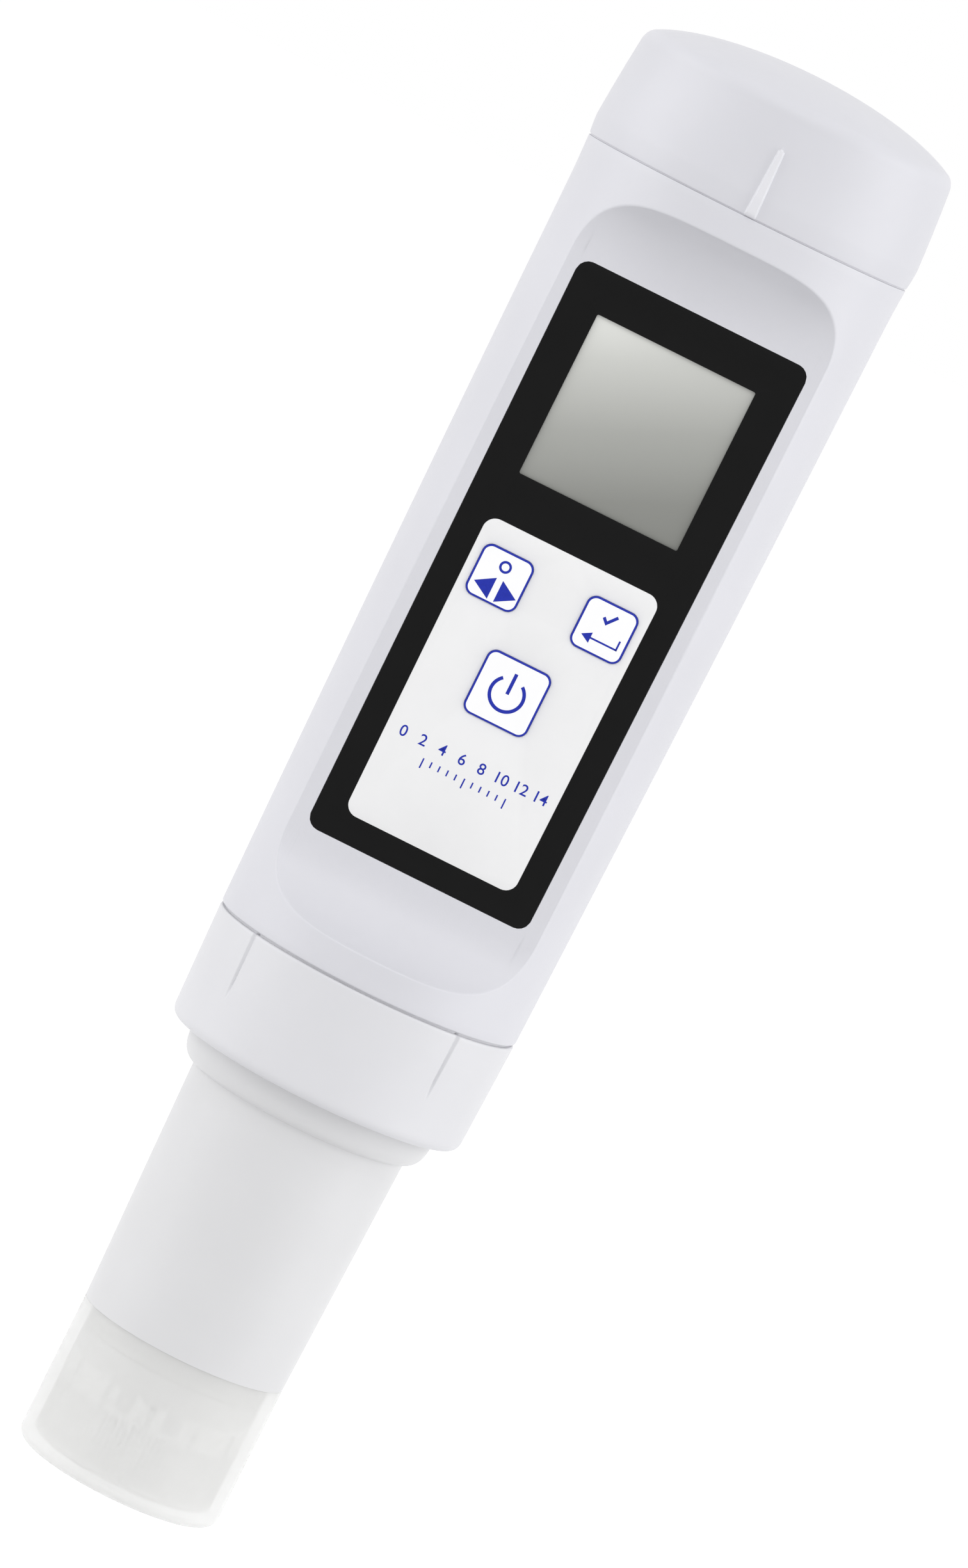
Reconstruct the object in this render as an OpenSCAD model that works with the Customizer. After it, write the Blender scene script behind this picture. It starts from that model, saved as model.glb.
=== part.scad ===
// Pocket water quality tester: a round body with a scooped front face, a pull-off battery cap,
// a screwed collar that holds the sensor module, and a clear cup over the sensor's nose.
// The model stands on the cup: +Z runs up the body to the battery cap, and the front looks along -Y.

/* [Lengths along the body] */
// Height of the storage cup
cup_h = 17.9; // [15:0.1:24]
// Length of the bare sensor barrel, from the cup to the shoulder
barrel_len = 29.5; // [24:0.1:40]
// Length of the shoulder ring that shows below the collar
shoulder_len = 3.9; // [3:0.1:6]
// Length of the locking collar
collar_len = 14; // [13:0.1:18]
// Length of the body, from the collar to the battery cap
body_len = 95.8; // [94:0.2:110]
// Height of the battery cap above its seam
cap_h = 17; // [14:0.1:22]

/* [Body] */
// Diameter of the body at the battery cap's seam
body_top_d = 39.3; // [38:0.1:43]
// Diameter of the body at the collar's seam
body_low_d = 37; // [36.6:0.1:40]
// How far the body's side swells out at half its length
body_swell = 0.13; // [0:0.01:0.4]
// How far the mouth of the body flares out to meet the cap
mouth_flare = 0.15; // [0:0.01:0.3]
// Wall of the body
wall = 1.8; // [1.5:0.05:2]
// Gap that shows as a fine line between body, cap and collar
seam = 0.3; // [0.2:0.05:0.4]

/* [Front face] */
// Depth of the flat face below the round body, at the foot of the panel
face_low_depth = 8.29; // [8:0.01:8.6]
// Depth of the flat face below the round body, at the head of the panel
face_top_depth = 7.89; // [7.6:0.01:8.2]
// Wall behind the flat face
face_wall = 1.6; // [1.4:0.05:1.8]
// Radius of the scoop's upper end
scoop_top_r = 8.1; // [7:0.1:9]
// Radius of the scoop's lower end
scoop_low_r = 8.2; // [6:0.1:9]
// Flat face left bare above the panel
face_head = 0.8; // [0.5:0.1:1]
// Flat face left bare below the panel
face_foot = 1; // [0.5:0.1:3]

/* [Panel] */
// Height of the panel's foot above the collar's seam
panel_lift = 13; // [12:0.1:16]
// Length of the dark panel
panel_len = 70.5; // [68:0.1:71]
// Bare strip of the flat face on each side of the panel's foot
strip_low_w = 1.85; // [1.4:0.05:2.6]
// Bare strip of the flat face on each side of the panel's head
strip_top_w = 1.5; // [1.3:0.05:2.2]
// Corner radius of the panel and of the key sheet
panel_r = 1.5; // [0.5:0.1:3]
// Thickness of the panel film and of the key sheet
film_t = 0.3; // [0.2:0.05:0.4]

/* [Display] */
// Width of the display opening
window_w = 19.6; // [17:0.1:20]
// Height of the display opening
window_h = 19.7; // [17:0.1:20]
// Height of the display opening's foot above the panel's foot
window_lift = 45.9; // [45:0.1:47]
// Thickness of the clear window
window_t = 0.8; // [0.6:0.05:0.9]
// How far the clear window reaches under the film on each side
window_lap = 0.7; // [0.4:0.05:0.9]
// Thickness of the display glass
lcd_t = 1.5; // [1.2:0.05:1.5]
// How far the display glass reaches past its opening on each side
lcd_lap = 1.6; // [1:0.1:1.7]

/* [Keys] */
// Length of the light key sheet
sheet_len = 36.9; // [34:0.1:39]
// Width of the key sheet at its foot
sheet_low_w = 21; // [20:0.1:23]
// Width of the key sheet at its head
sheet_top_w = 21.5; // [20:0.1:23]
// Height of the key sheet's foot above the panel's foot
sheet_lift = 3.2; // [2:0.1:5]
// Width and height of the two upper keys
small_key = 6.2; // [5:0.1:6.6]
// Width and height of the lower key
large_key = 8; // [6:0.1:8.4]
// Distance between the middles of the two upper keys
key_pitch = 13; // [12:0.1:13.4]
// Height of the upper keys' middles above the panel's foot
upper_key_lift = 34.2; // [33:0.1:35]
// Height of the lower key's middle above the panel's foot
lower_key_lift = 23.1; // [20:0.1:24]
// Corner radius of the keys
key_r = 1.4; // [0.5:0.1:2]
// How far the keys stand out of the sheet
key_proud = 0.15; // [0.05:0.05:0.4]
// Travel of the keys
key_travel = 0.3; // [0.2:0.05:0.35]

/* [Circuit board] */
// Width of the main board
board_w = 26; // [24:0.1:27]
// Thickness of the main board
board_t = 0.8; // [0.6:0.05:0.8]
// Depth of the board's front side behind the flat face
board_depth = 4.1; // [3.9:0.05:4.1]
// How far the board's edge lies outside the middles of the screws
screw_inset = 1.6; // [1.5:0.05:2]
// Diameter of the board screws
screw_d = 1.6; // [1.4:0.1:2]

/* [Batteries] */
// Diameter of one cell
cell_d = 10.5; // [10:0.1:10.5]
// Length of one cell, with its nub
cell_len = 44.5; // [43:0.1:44.5]
// Height of the compressed contact springs
spring_h = 5; // [4:0.1:6]
// Wire diameter of the contact springs
spring_wire = 0.6; // [0.4:0.05:0.8]

/* [Battery cap] */
// How far the cap's side swells out past the body, just above the seam
cap_swell = 0.2; // [0:0.05:1.5]
// How far the cap's side has drawn in from the body where it turns into the crown
cap_draft = 0.55; // [0.3:0.05:1.2]
// Rise of the domed crown
crown_rise = 3.9; // [2:0.1:5]
// Wall of the cap
cap_wall = 2; // [1.6:0.1:2.4]
// Depth of the cap's spigot inside the body
spigot_len = 5.7; // [5:0.1:5.8]
// Length of the pointer rib on the cap's front
pointer_len = 8.1; // [5:0.1:9]
// Width of the pointer rib at the seam
pointer_w = 1.5; // [1:0.1:3]
// How far the pointer rib stands out of the cap's side
pointer_rise = 0.45; // [0.2:0.05:0.8]

/* [Collar] */
// Wall of the collar round the neck, at the seam
collar_wall = 2.5; // [2.3:0.05:2.6]
// How far the collar draws in from the seam to its lower edge
collar_draft = 0.45; // [0.1:0.05:0.6]
// Corner radius of the collar's lower edge
collar_r = 1.3; // [0.5:0.1:1.6]
// Wall of the neck
neck_wall = 1.7; // [1.5:0.05:1.8]
// Length of the fine grooves in the collar
groove_len = 8.2; // [4:0.1:10]
// Turn of the grooves away from the four corners, in degrees
groove_turn = -1.8; // [-10:0.1:10]
// Radial play of the collar on the neck and on the shoulder
thread_fit = 0.08; // [0.05:0.01:0.1]

/* [Sensor module] */
// How far the flange stands out past the shoulder ring
flange_step = 0.8; // [0.7:0.05:1.2]
// How far the shoulder ring stands out past the barrel
shoulder_step = 1.95; // [1:0.05:2.3]
// How far the barrel draws in from the shoulder to the cup
barrel_draft = 0.8; // [0.5:0.05:1.2]
// Wall of the barrel at its lower end
barrel_wall = 1.65; // [1.4:0.05:1.9]
// Length of the nose inside the cup
nose_len = 6.2; // [5:0.1:7]
// Wall of the nose round the sample chamber
nose_wall = 2.95; // [2.4:0.05:3.4]
// Depth of the sample chamber
chamber_depth = 6; // [4:0.1:7]
// Diameter of the electrodes
electrode_d = 2.2; // [1.5:0.1:2.4]
// Diameter of the circle that the electrodes stand on
electrode_circle = 8.4; // [8:0.1:10]
// Diameter of the temperature probe
probe_d = 2.8; // [2:0.1:3]

/* [Storage cup] */
// Wall of the cup
cup_wall = 1.3; // [1:0.05:1.5]
// Corner radius of the cup's foot
cup_r = 1.4; // [1:0.1:3]
// Number of ribs inside the cup
cup_ribs = 12; // [6:1:16]
// How far the ribs stand in from the cup's wall
rib_depth = 0.6; // [0.4:0.05:0.9]

/* [Hidden] */
$fn = 96;
eps = 0.01;

// Clearances
slip = 0.1;
film_gap = 0.05;
seal_gap = 0.05;
key_gap = 0.15;
air = 0.3;
pin_fit = 0.1;

// Heights of the seams, from the cup's foot upwards
z_rim = cup_h;
z_shoulder = z_rim + barrel_len;
z_collar = z_shoulder + shoulder_len;
z_body = z_collar + collar_len;
z_cap = z_body + body_len;
z_panel = z_body + panel_lift;

// Outer radius of the body at height z
function body_r(z) =
    let (t = (z - z_body) / body_len, m = max(0, 1 - (z_cap - z) / 6))
    body_low_d / 2 + (body_top_d - body_low_d) / 2 * t + 4 * body_swell * t * (1 - t) + mouth_flare * m * m;

// Point of a curve from a to c that leans towards b
function bend(a, b, c, t) = (1 - t) * (1 - t) * a + 2 * t * (1 - t) * b + t * t * c;

// The flat face leans with the taper of the body, and its width follows from its depth
face_low_y = body_r(z_panel) - face_low_depth;
face_top_y = body_r(z_panel + panel_len) - face_top_depth;
face_tilt = atan((face_top_y - face_low_y) / panel_len);
function face_y(z) = -face_low_y - (z - z_panel) * tan(face_tilt);
function face_w(z) = 2 * sqrt(pow(body_r(z), 2) - pow(face_y(z), 2));
panel_low_w = face_w(z_panel) - 2 * strip_low_w;
panel_top_w = face_w(z_panel + panel_len) - 2 * strip_top_w;

// Body inside
floor_t = 2.4;
z_floor = z_body + 1.4;
neck_r = body_low_d / 2 - collar_wall;
neck_bore_r = neck_r - neck_wall;
mouth_r = body_r(z_cap) - wall - slip;

// Collar and module
shoulder_r = neck_r - flange_step;
barrel_top_r = shoulder_r - shoulder_step;
barrel_low_r = barrel_top_r - barrel_draft;
module_bore_r = barrel_low_r - barrel_wall;
lip_t = 1.8;
washer_t = 0.4;
flange_t = 1.8;
z_washer = z_collar + lip_t;
z_flange = z_washer + washer_t + slip;
z_neck = z_flange + flange_t + slip;
plug_len = 6.4;
z_plug = z_neck + plug_len;
cup_in_r = barrel_low_r - cup_wall;
nose_r = cup_in_r - 0.2;
chamber_r = nose_r - nose_wall;
z_nose = z_rim - nose_len;
z_ledge = z_rim + nose_len;
lid_t = 1.6;
module_gland_z = z_neck + 3.4;
seal_r = 0.9;
cup_gland_z = z_rim - 2.2;
cup_seal_r = 0.6;
chamber_z = z_nose + chamber_depth;
insert_flange_t = 1.5;
electrode_reach = 3.8;
sensor_board_inset = 3.3;
sensor_board_w = 2 * (module_bore_r - sensor_board_inset);

// Board, display and keys, as depths behind the flat face
lcd_depth = face_wall + 0.25;
lcd_back = lcd_depth + lcd_t;
board_back = board_depth + board_t;
screw_x = board_w / 2 - screw_inset;
screw_low = 8;
screw_bite = 2.6;
screw_head_step = 0.7;
screw_head_h = 0.9;
board_foot = -9;
board_head = window_lift + window_h + 3.3;
screw_rows = [board_foot + screw_low, window_lift - 5];
flange_key = 0.3;
key_back = face_wall + 0.1 + flange_key;
switch_h = board_depth - key_back - key_travel - 0.15;
switch_w = 6;
button_d = 3;
strip_inset = 1.2;

// Parts on the back of the board: sizes, and places above the board's foot or in from its edge
chip_w = 8.4;
chip_h = 1.3;
chip_lift = 18;
leg_count = 8;
leg_step = 0.9;
leg_w = 0.4;
leg_len = 1.2;
crystal_size = [3.2, 6.4, 1.6];
crystal_inset = 4.4;
crystal_lift = 17;
buzzer_r = 3.6;
buzzer_h = 2.4;
buzzer_lift = 28.5;
reservoir_r = 2.2;
reservoir_h = 4.5;
reservoir_inset = 4;
reservoir_lift = 27.5;
chip_cap_size = [2.4, 1.3, 0.7];
chip_cap_inset = 3.6;
chip_cap_lift = 12;
chip_cap_step = 3;

// Batteries and their carrier
z_plates = z_cap - 5;
z_cells = z_plates - slip - cell_len;
z_springs = z_cells - spring_h;
contact_board_t = 1;
carrier_floor_t = 1.2;
z_carrier = z_springs - contact_board_t - carrier_floor_t;
carrier_r = body_r(z_carrier) - wall - 0.25;
bay_r = cell_d / 2 + slip;
cell_pitch = cell_d + slip;
far_y = sqrt(pow(carrier_r - 0.45 - bay_r, 2) - pow(cell_pitch / 2, 2));
near_y = far_y - cell_pitch;
carrier_front = near_y - 4;
carrier_top = z_plates - 1;
cell_spots = [[-1, near_y, 0], [1, near_y, 1], [-1, far_y, 1], [1, far_y, 0]];

// Battery cap
cap_r = body_r(z_cap) + cap_swell;
rim_r = body_r(z_cap) - cap_draft;
z_foot = z_cap + seam / 2;
z_crown = z_cap + cap_h;
crown_a = rim_r + 1.75;
crown_b = crown_rise / (1 - sqrt(1 - pow(rim_r / crown_a, 2)));
z_spigot = z_cap - spigot_len;
spigot_t = 1.6;
cap_gland_z = z_cap - 0.9;
cap_seal_r = 0.5;
plate_t = 0.4;
holder_t = 2;
boss_r = 3.2;

// Connector between the module and the board
pin_count = 4;
pin_step = 3;
pin_d = 0.8;
socket_w = pin_count * pin_step;
socket_d = 4;
socket_foot = z_plug + 0.4;
z_board = z_panel + board_foot;
socket_front = face_y(z_board) + board_back + 0.2;
pin_y = socket_front + socket_d / 2;

// Flat outlines

module rounded_rect(w, h, r) {
    square([w - 2 * r, h], center = true);
    square([w, h - 2 * r], center = true);
    for (x = [-1, 1], y = [-1, 1]) translate([x * (w / 2 - r), y * (h / 2 - r)]) circle(r);
}

// Outline that widens from its foot at y = 0 to its head at y = h
module tapered_rect(low_w, top_w, h, r) {
    lean = atan((top_w - low_w) / 2 / h);
    cx = function(y) low_w / 2 + (top_w - low_w) / 2 * y / h - r / cos(lean);
    low = cx(r);
    top = cx(h - r);
    out = [r * cos(lean), -r * sin(lean)];
    polygon([
        [-low, 0], [low, 0], [low + out[0], r + out[1]], [top + out[0], h - r + out[1]],
        [top, h], [-top, h], [-top - out[0], h - r + out[1]], [-low - out[0], r + out[1]]
    ]);
    for (s = [-1, 1]) {
        translate([s * low, r]) circle(r);
        translate([s * top, h - r]) circle(r);
    }
}

// Round parts about the body's axis

module ring(outer, inner, low, high) {
    rotate_extrude() translate([inner, low]) square([outer - inner, high - low]);
}

module disc(r, low, high) {
    translate([0, 0, low]) cylinder(r = r, h = high - low);
}

module torus(r, cord) {
    rotate_extrude() translate([r, 0]) circle(cord, $fn = 32);
}

// Sealing ring that stands just clear of a bore, and the groove that it lies in
module seal_ring(bore_r, z, cord) {
    translate([0, 0, z]) torus(bore_r - seal_gap - cord, cord);
}

module gland(bore_r, z, cord) {
    ring(bore_r + 1, bore_r - seal_gap - 2 * cord - eps, z - cord - slip, z + cord + slip);
}

// The flat face: x across it, z up it from the panel's foot, y into the body

module on_face(x = 0, z = 0) {
    translate([0, -face_low_y, z_panel]) rotate([face_tilt, 0, 0]) translate([x, 0, z]) children();
}

module plate(front, back) {
    rotate([90, 0, 0]) translate([0, 0, -back]) linear_extrude(back - front) children();
}

module peg(r, front, back) {
    translate([0, front, 0]) rotate([-90, 0, 0]) cylinder(r = r, h = back - front, $fn = 48);
}

// The scoop is a flat face with a round sweep at each end; grow thickens it by a wall
module scoop(grow = 0) {
    reach = 2 * cap_r;
    head = panel_len + face_head;
    on_face() rotate([90, 0, 90]) linear_extrude(4 * cap_r, center = true) {
        translate([-reach, -face_foot]) square([reach + grow, head + face_foot]);
        translate([-scoop_top_r, head]) circle(scoop_top_r + grow);
        translate([-reach, head - eps]) square([reach - scoop_top_r, scoop_top_r + grow + eps]);
        translate([-scoop_low_r, -face_foot]) circle(scoop_low_r + grow);
        translate([-reach, -face_foot - scoop_low_r - grow])
            square([reach - scoop_low_r, scoop_low_r + grow + eps]);
    }
}

module body_outline(inset, low, high) {
    steps = 12;
    rotate_extrude() polygon(concat(
        [[0, low]],
        [for (i = [0:steps]) let (z = low + (high - low) * i / steps) [body_r(z) - inset, z]],
        [[0, high]]
    ));
}

module body_shell() {
    boss_d = screw_d + 2.4;
    color("#e2e2e4") difference() {
        union() {
            difference() {
                union() {
                    body_outline(0, z_body, z_cap);
                    disc(neck_r, z_neck, z_body + eps);
                }
                scoop();
                difference() {
                    union() {
                        body_outline(wall, z_floor, z_spigot);
                        disc(mouth_r, z_spigot - slip, z_cap + 1);
                    }
                    scoop(face_wall);
                }
                disc(neck_bore_r, z_neck - 1, z_floor - floor_t);
                translate([-socket_w / 2 - air, socket_front - air, z_floor - floor_t - 1])
                    cube([socket_w + 2 * air, socket_d + 2 * air, floor_t + 2]);
            }
            for (x = [-1, 1], z = screw_rows) on_face(x * screw_x, z)
                peg(boss_d / 2, face_wall / 2, board_depth);
        }
        for (x = [-1, 1], z = screw_rows) on_face(x * screw_x, z)
            peg(screw_d / 2, film_t + 0.9, board_depth + 1);
        on_face() plate(-1, film_t + film_gap)
            tapered_rect(panel_low_w + 2 * film_gap, panel_top_w + 2 * film_gap, panel_len, panel_r);
        on_face(0, window_lift + window_h / 2) {
            plate(-1, film_t + film_gap + window_t + film_gap)
                square([window_w + 2 * window_lap, window_h + 2 * window_lap] + 2 * [film_gap, film_gap],
                    center = true);
            plate(-1, face_wall + 1) square([window_w, window_h], center = true);
        }
        for (spot = [[-key_pitch / 2, upper_key_lift, small_key], [key_pitch / 2, upper_key_lift, small_key],
                [0, lower_key_lift, large_key]])
            on_face(spot[0], spot[1]) plate(-1, face_wall + 1)
                rounded_rect(spot[2] + 2 * key_gap, spot[2] + 2 * key_gap, key_r + key_gap);
    }
}

module panel_film() {
    color("#1a1a1a") on_face() plate(0, film_t) difference() {
        tapered_rect(panel_low_w, panel_top_w, panel_len, panel_r);
        translate([0, sheet_lift - film_gap]) tapered_rect(sheet_low_w + 2 * film_gap,
            sheet_top_w + 2 * film_gap, sheet_len + 2 * film_gap, panel_r);
        translate([0, window_lift + window_h / 2]) square([window_w, window_h], center = true);
    }
}

module key_sheet() {
    color("#eeeeee") on_face() plate(0, film_t) difference() {
        translate([0, sheet_lift]) tapered_rect(sheet_low_w, sheet_top_w, sheet_len, panel_r);
        for (x = [-1, 1]) translate([x * key_pitch / 2, upper_key_lift])
            rounded_rect(small_key + 2 * key_gap, small_key + 2 * key_gap, key_r + key_gap);
        translate([0, lower_key_lift])
            rounded_rect(large_key + 2 * key_gap, large_key + 2 * key_gap, key_r + key_gap);
    }
}

// A key is a pad with a flange behind the wall, so that it can't fall out
module key(x, z, size) {
    color("white") on_face(x, z) {
        plate(-key_proud, face_wall + 0.1 + eps) rounded_rect(size, size, key_r);
        plate(face_wall + 0.1, key_back) rounded_rect(size + 1.4, size + 1.4, key_r);
    }
}

module left_key() key(-key_pitch / 2, upper_key_lift, small_key);
module right_key() key(key_pitch / 2, upper_key_lift, small_key);
module lower_key() key(0, lower_key_lift, large_key);

module switch_button(x, z) {
    color("#303030") on_face(x, z) peg(button_d / 2, key_back, board_depth - 0.3 - key_travel);
}

module left_switch_button() switch_button(-key_pitch / 2, upper_key_lift);
module right_switch_button() switch_button(key_pitch / 2, upper_key_lift);
module lower_switch_button() switch_button(0, lower_key_lift);

module switch_bases() {
    color("#b0b0b4") for (spot = [[-key_pitch / 2, upper_key_lift], [key_pitch / 2, upper_key_lift],
            [0, lower_key_lift]])
        on_face(spot[0], spot[1]) difference() {
            plate(board_depth - switch_h, board_depth) rounded_rect(switch_w, switch_w, 0.6);
            peg(button_d / 2 + 0.06, 0, board_depth - 0.2);
        }
}

module display_window() {
    color("#d8e0e0", 0.4) on_face(0, window_lift + window_h / 2)
        plate(film_t + film_gap, film_t + film_gap + window_t)
            square([window_w + 2 * window_lap, window_h + 2 * window_lap], center = true);
}

// Two sheets of glass, the rear one longer where the contact strips press on it
module display_glass() {
    w = window_w + 2 * lcd_lap;
    h = window_h + 2 * lcd_lap;
    color("#a9ada3") on_face(0, window_lift + window_h / 2) {
        plate(lcd_depth, lcd_depth + lcd_t / 2 + eps) square([w, h - 2 * strip_inset], center = true);
        plate(lcd_depth + lcd_t / 2, lcd_back) square([w, h], center = true);
    }
}

module display_frame() {
    w = window_w + 2 * lcd_lap;
    h = window_h + 2 * lcd_lap;
    color("#d0d0d0") on_face(0, window_lift + window_h / 2) difference() {
        plate(lcd_depth, board_depth) square([w + 2, h + 2], center = true);
        plate(lcd_depth - 1, lcd_back + slip / 2) square([w + slip, h + slip], center = true);
        plate(lcd_depth, board_depth + 1) square([w - 4, h - 7], center = true);
        for (s = [-1, 1]) translate([0, 0, s * (h / 2 - strip_inset)])
            plate(lcd_depth, board_depth + 1) square([w - 2, 1.4], center = true);
    }
}

module contact_strips() {
    w = window_w + 2 * lcd_lap;
    h = window_h + 2 * lcd_lap;
    color("#505058") on_face(0, window_lift + window_h / 2)
        for (s = [-1, 1]) translate([0, 0, s * (h / 2 - strip_inset)])
            plate(lcd_back, board_depth) square([w - 2.4, 1], center = true);
}

module main_board() {
    color("#2f6b45") on_face() difference() {
        plate(board_depth, board_back) translate([0, (board_head + board_foot) / 2])
            rounded_rect(board_w, board_head - board_foot, 1);
        for (x = [-1, 1], z = screw_rows) translate([x * screw_x, 0, z])
            peg(screw_d / 2 + slip, 0, board_back + 1);
    }
}

module controller_chip() {
    leg_z = chip_w / 2 + leg_len / 2 - 0.1;
    color("#202024") on_face(0, board_foot + chip_lift) {
        plate(board_back + 0.1, board_back + 0.1 + chip_h) rounded_rect(chip_w, chip_w, 0.3);
        for (turn = [0:90:270], i = [0:leg_count - 1])
            rotate([0, turn, 0]) translate([(i - (leg_count - 1) / 2) * leg_step, 0, leg_z])
                plate(board_back, board_back + leg_w) square([leg_w, leg_len], center = true);
    }
}

// Crystal can, buzzer and reservoir capacitors on the back of the board
module board_parts() {
    edge = board_w / 2;
    color("#c8c8cc") on_face(0, board_foot) {
        translate([edge - crystal_inset, 0, crystal_lift]) plate(board_back, board_back + crystal_size[2])
            rounded_rect(crystal_size[0], crystal_size[1], crystal_size[0] / 2 - 0.2);
        translate([0, 0, buzzer_lift]) peg(buzzer_r, board_back, board_back + buzzer_h);
        for (s = [-1, 1]) translate([s * (edge - reservoir_inset), 0, reservoir_lift])
            peg(reservoir_r, board_back, board_back + reservoir_h);
        for (i = [0:3]) translate([chip_cap_inset - edge, 0, chip_cap_lift + chip_cap_step * i])
            plate(board_back, board_back + chip_cap_size[2])
                square([chip_cap_size[0], chip_cap_size[1]], center = true);
    }
}

module board_screws() {
    head_r = screw_d / 2 + screw_head_step;
    slot_len = screw_d + 0.2;
    color("silver") for (x = [-1, 1], z = screw_rows) on_face(x * screw_x, z) difference() {
        union() {
            peg(screw_d / 2 - film_gap, board_depth - screw_bite, board_back + eps);
            peg(head_r, board_back, board_back + screw_head_h);
        }
        for (turn = [0, 90]) rotate([0, turn, 0])
            plate(board_back + screw_head_h / 2, board_back + screw_head_h + 1)
                square([slot_len, screw_d / 5], center = true);
    }
}

module connector_socket() {
    color("#26262a") difference() {
        translate([-socket_w / 2, socket_front, socket_foot])
            cube([socket_w, socket_d, z_board + 4 - socket_foot]);
        for (i = [0:pin_count - 1]) translate([(i - (pin_count - 1) / 2) * pin_step, pin_y, 0])
            disc(pin_d / 2 + pin_fit, socket_foot - 1, z_plug + 4.8);
    }
}

// Open cradle: four bays that run into each other, a floor, and a flat front clear of the board
module battery_carrier() {
    color("#3a3a3e") difference() {
        disc(carrier_r, z_carrier, carrier_top);
        for (spot = cell_spots) translate([spot[0] * cell_pitch / 2, spot[1], 0])
            disc(bay_r, z_carrier + carrier_floor_t, carrier_top + 1);
        translate([-cell_pitch / 2, near_y, z_carrier + carrier_floor_t])
            cube([cell_pitch, cell_pitch, carrier_top]);
        translate([-2 * carrier_r, carrier_front - 4 * carrier_r, z_carrier - 1])
            cube([4 * carrier_r, 4 * carrier_r, carrier_top]);
    }
}

module contact_board() {
    color("#2f6b45") intersection() {
        for (spot = cell_spots) translate([spot[0] * cell_pitch / 2, spot[1], 0])
            disc(bay_r - slip, z_springs - contact_board_t, z_springs);
        translate([-carrier_r, carrier_front, z_springs - 2]) cube([2 * carrier_r, 2 * carrier_r, 4]);
    }
}

// A coil is a row of turns; the last turn lies flat against the cell
module coil(r, h) {
    turns = 5;
    for (i = [0:turns - 1])
        translate([0, 0, spring_wire / 2 + (h - spring_wire) * i / (turns - 1)])
            torus(r - 0.25 * i, spring_wire / 2, $fn = 32);
}

module contact_springs() {
    color("silver") for (spot = cell_spots)
        translate([spot[0] * cell_pitch / 2, spot[1], z_springs]) {
            coil(3.6, spring_h);
            disc(0.5, 0, spring_h - 1);
        }
}

// One cell: a sleeved can with a bare rim at each end and a nub at its plus end
module dry_cell(i) {
    nub_h = 1;
    r = cell_d / 2;
    spot = cell_spots[i];
    color(i % 2 == 0 ? "#c9772b" : "#b8702c")
        translate([spot[0] * cell_pitch / 2, spot[1], z_cells + (spot[2] > 0 ? 0 : cell_len)])
            mirror([0, 0, spot[2] > 0 ? 0 : 1]) rotate_extrude() polygon([
                [0, 0], [r - 1, 0], [r - 0.4, 0.3], [r - 0.4, 0.8], [r, 1.1],
                [r, cell_len - nub_h - 1], [r - 0.4, cell_len - nub_h - 0.7],
                [r - 0.4, cell_len - nub_h - 0.2], [r - 0.8, cell_len - nub_h],
                [1.9, cell_len - nub_h], [1.9, cell_len - 0.3], [1.6, cell_len], [0, cell_len]
            ]);
}

module cell_1() dry_cell(0);
module cell_2() dry_cell(1);
module cell_3() dry_cell(2);
module cell_4() dry_cell(3);

// Half outline of the cap's outside: a side that swells above the seam, a soft rim and a crown
function cap_side() =
    let (seam_p = [body_r(z_cap), z_foot], wide = [cap_r, z_cap + 2.5],
        side = [rim_r + 0.03, z_crown - crown_rise - 1.4], corner = [rim_r - 0.02, z_crown - crown_rise + 0.1],
        top = [rim_r - 1, crown_z(rim_r - 1)], steps = 6)
    concat(
        [for (i = [0:steps]) bend(seam_p, wide - [0.02, 1], wide, i / steps)],
        [for (i = [1:steps]) bend(wide, (wide + side) / 2 + [0.1, 0], side, i / steps)],
        [for (i = [1:steps]) bend(side, corner, top, i / steps)]
    );
function crown_z(r) = z_crown - crown_b * (1 - sqrt(1 - pow(r / crown_a, 2)));

// Rib that follows the cap's side and narrows to half its width
module pointer() {
    end_r = pointer_w / 4;
    intersection() {
        rotate_extrude() polygon(concat(
            [[0, z_foot]], [for (p = cap_side()) p + [pointer_rise, 0]], [[0, z_crown]]
        ));
        translate([0, 0, z_foot]) plate(-cap_r - 2 * pointer_rise, 1 - rim_r) {
            polygon([[-2 * end_r, 0], [2 * end_r, 0], [end_r, pointer_len - end_r],
                [-end_r, pointer_len - end_r]]);
            translate([0, pointer_len - end_r]) circle(end_r, $fn = 32);
        }
    }
}

module battery_cap() {
    steps = 12;
    inner_a = crown_a - cap_wall;
    inner_b = crown_b - cap_wall;
    inner_r = rim_r - cap_wall;
    inner_z = function(r) z_crown - crown_b + inner_b * sqrt(1 - pow(r / inner_a, 2));
    color("#e2e2e4") difference() {
        union() {
            difference() {
                union() {
                    rotate_extrude() polygon(concat(
                        [[0, z_foot]], cap_side(),
                        [for (i = [1:steps]) let (r = (rim_r - 1) * (1 - i / steps)) [r, crown_z(r)]]
                    ));
                    pointer();
                }
                rotate_extrude() polygon(concat(
                    [[0, z_foot - 1], [inner_r, z_foot - 1]],
                    [for (i = [0:steps]) let (r = inner_r * (1 - i / steps)) [r, inner_z(r)]]
                ));
            }
            difference() {
                ring(mouth_r - slip, mouth_r - slip - spigot_t, z_spigot, z_foot + 2);
                scoop(face_wall + air);
            }
            disc(boss_r, z_plates + plate_t + holder_t, z_crown - 2);
        }
        gland(mouth_r, cap_gland_z, cap_seal_r);
        disc(0.8, z_plates, z_plates + plate_t + holder_t + 6);
    }
}

module cap_seal() {
    color("#202020") seal_ring(mouth_r, cap_gland_z, cap_seal_r);
}

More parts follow.
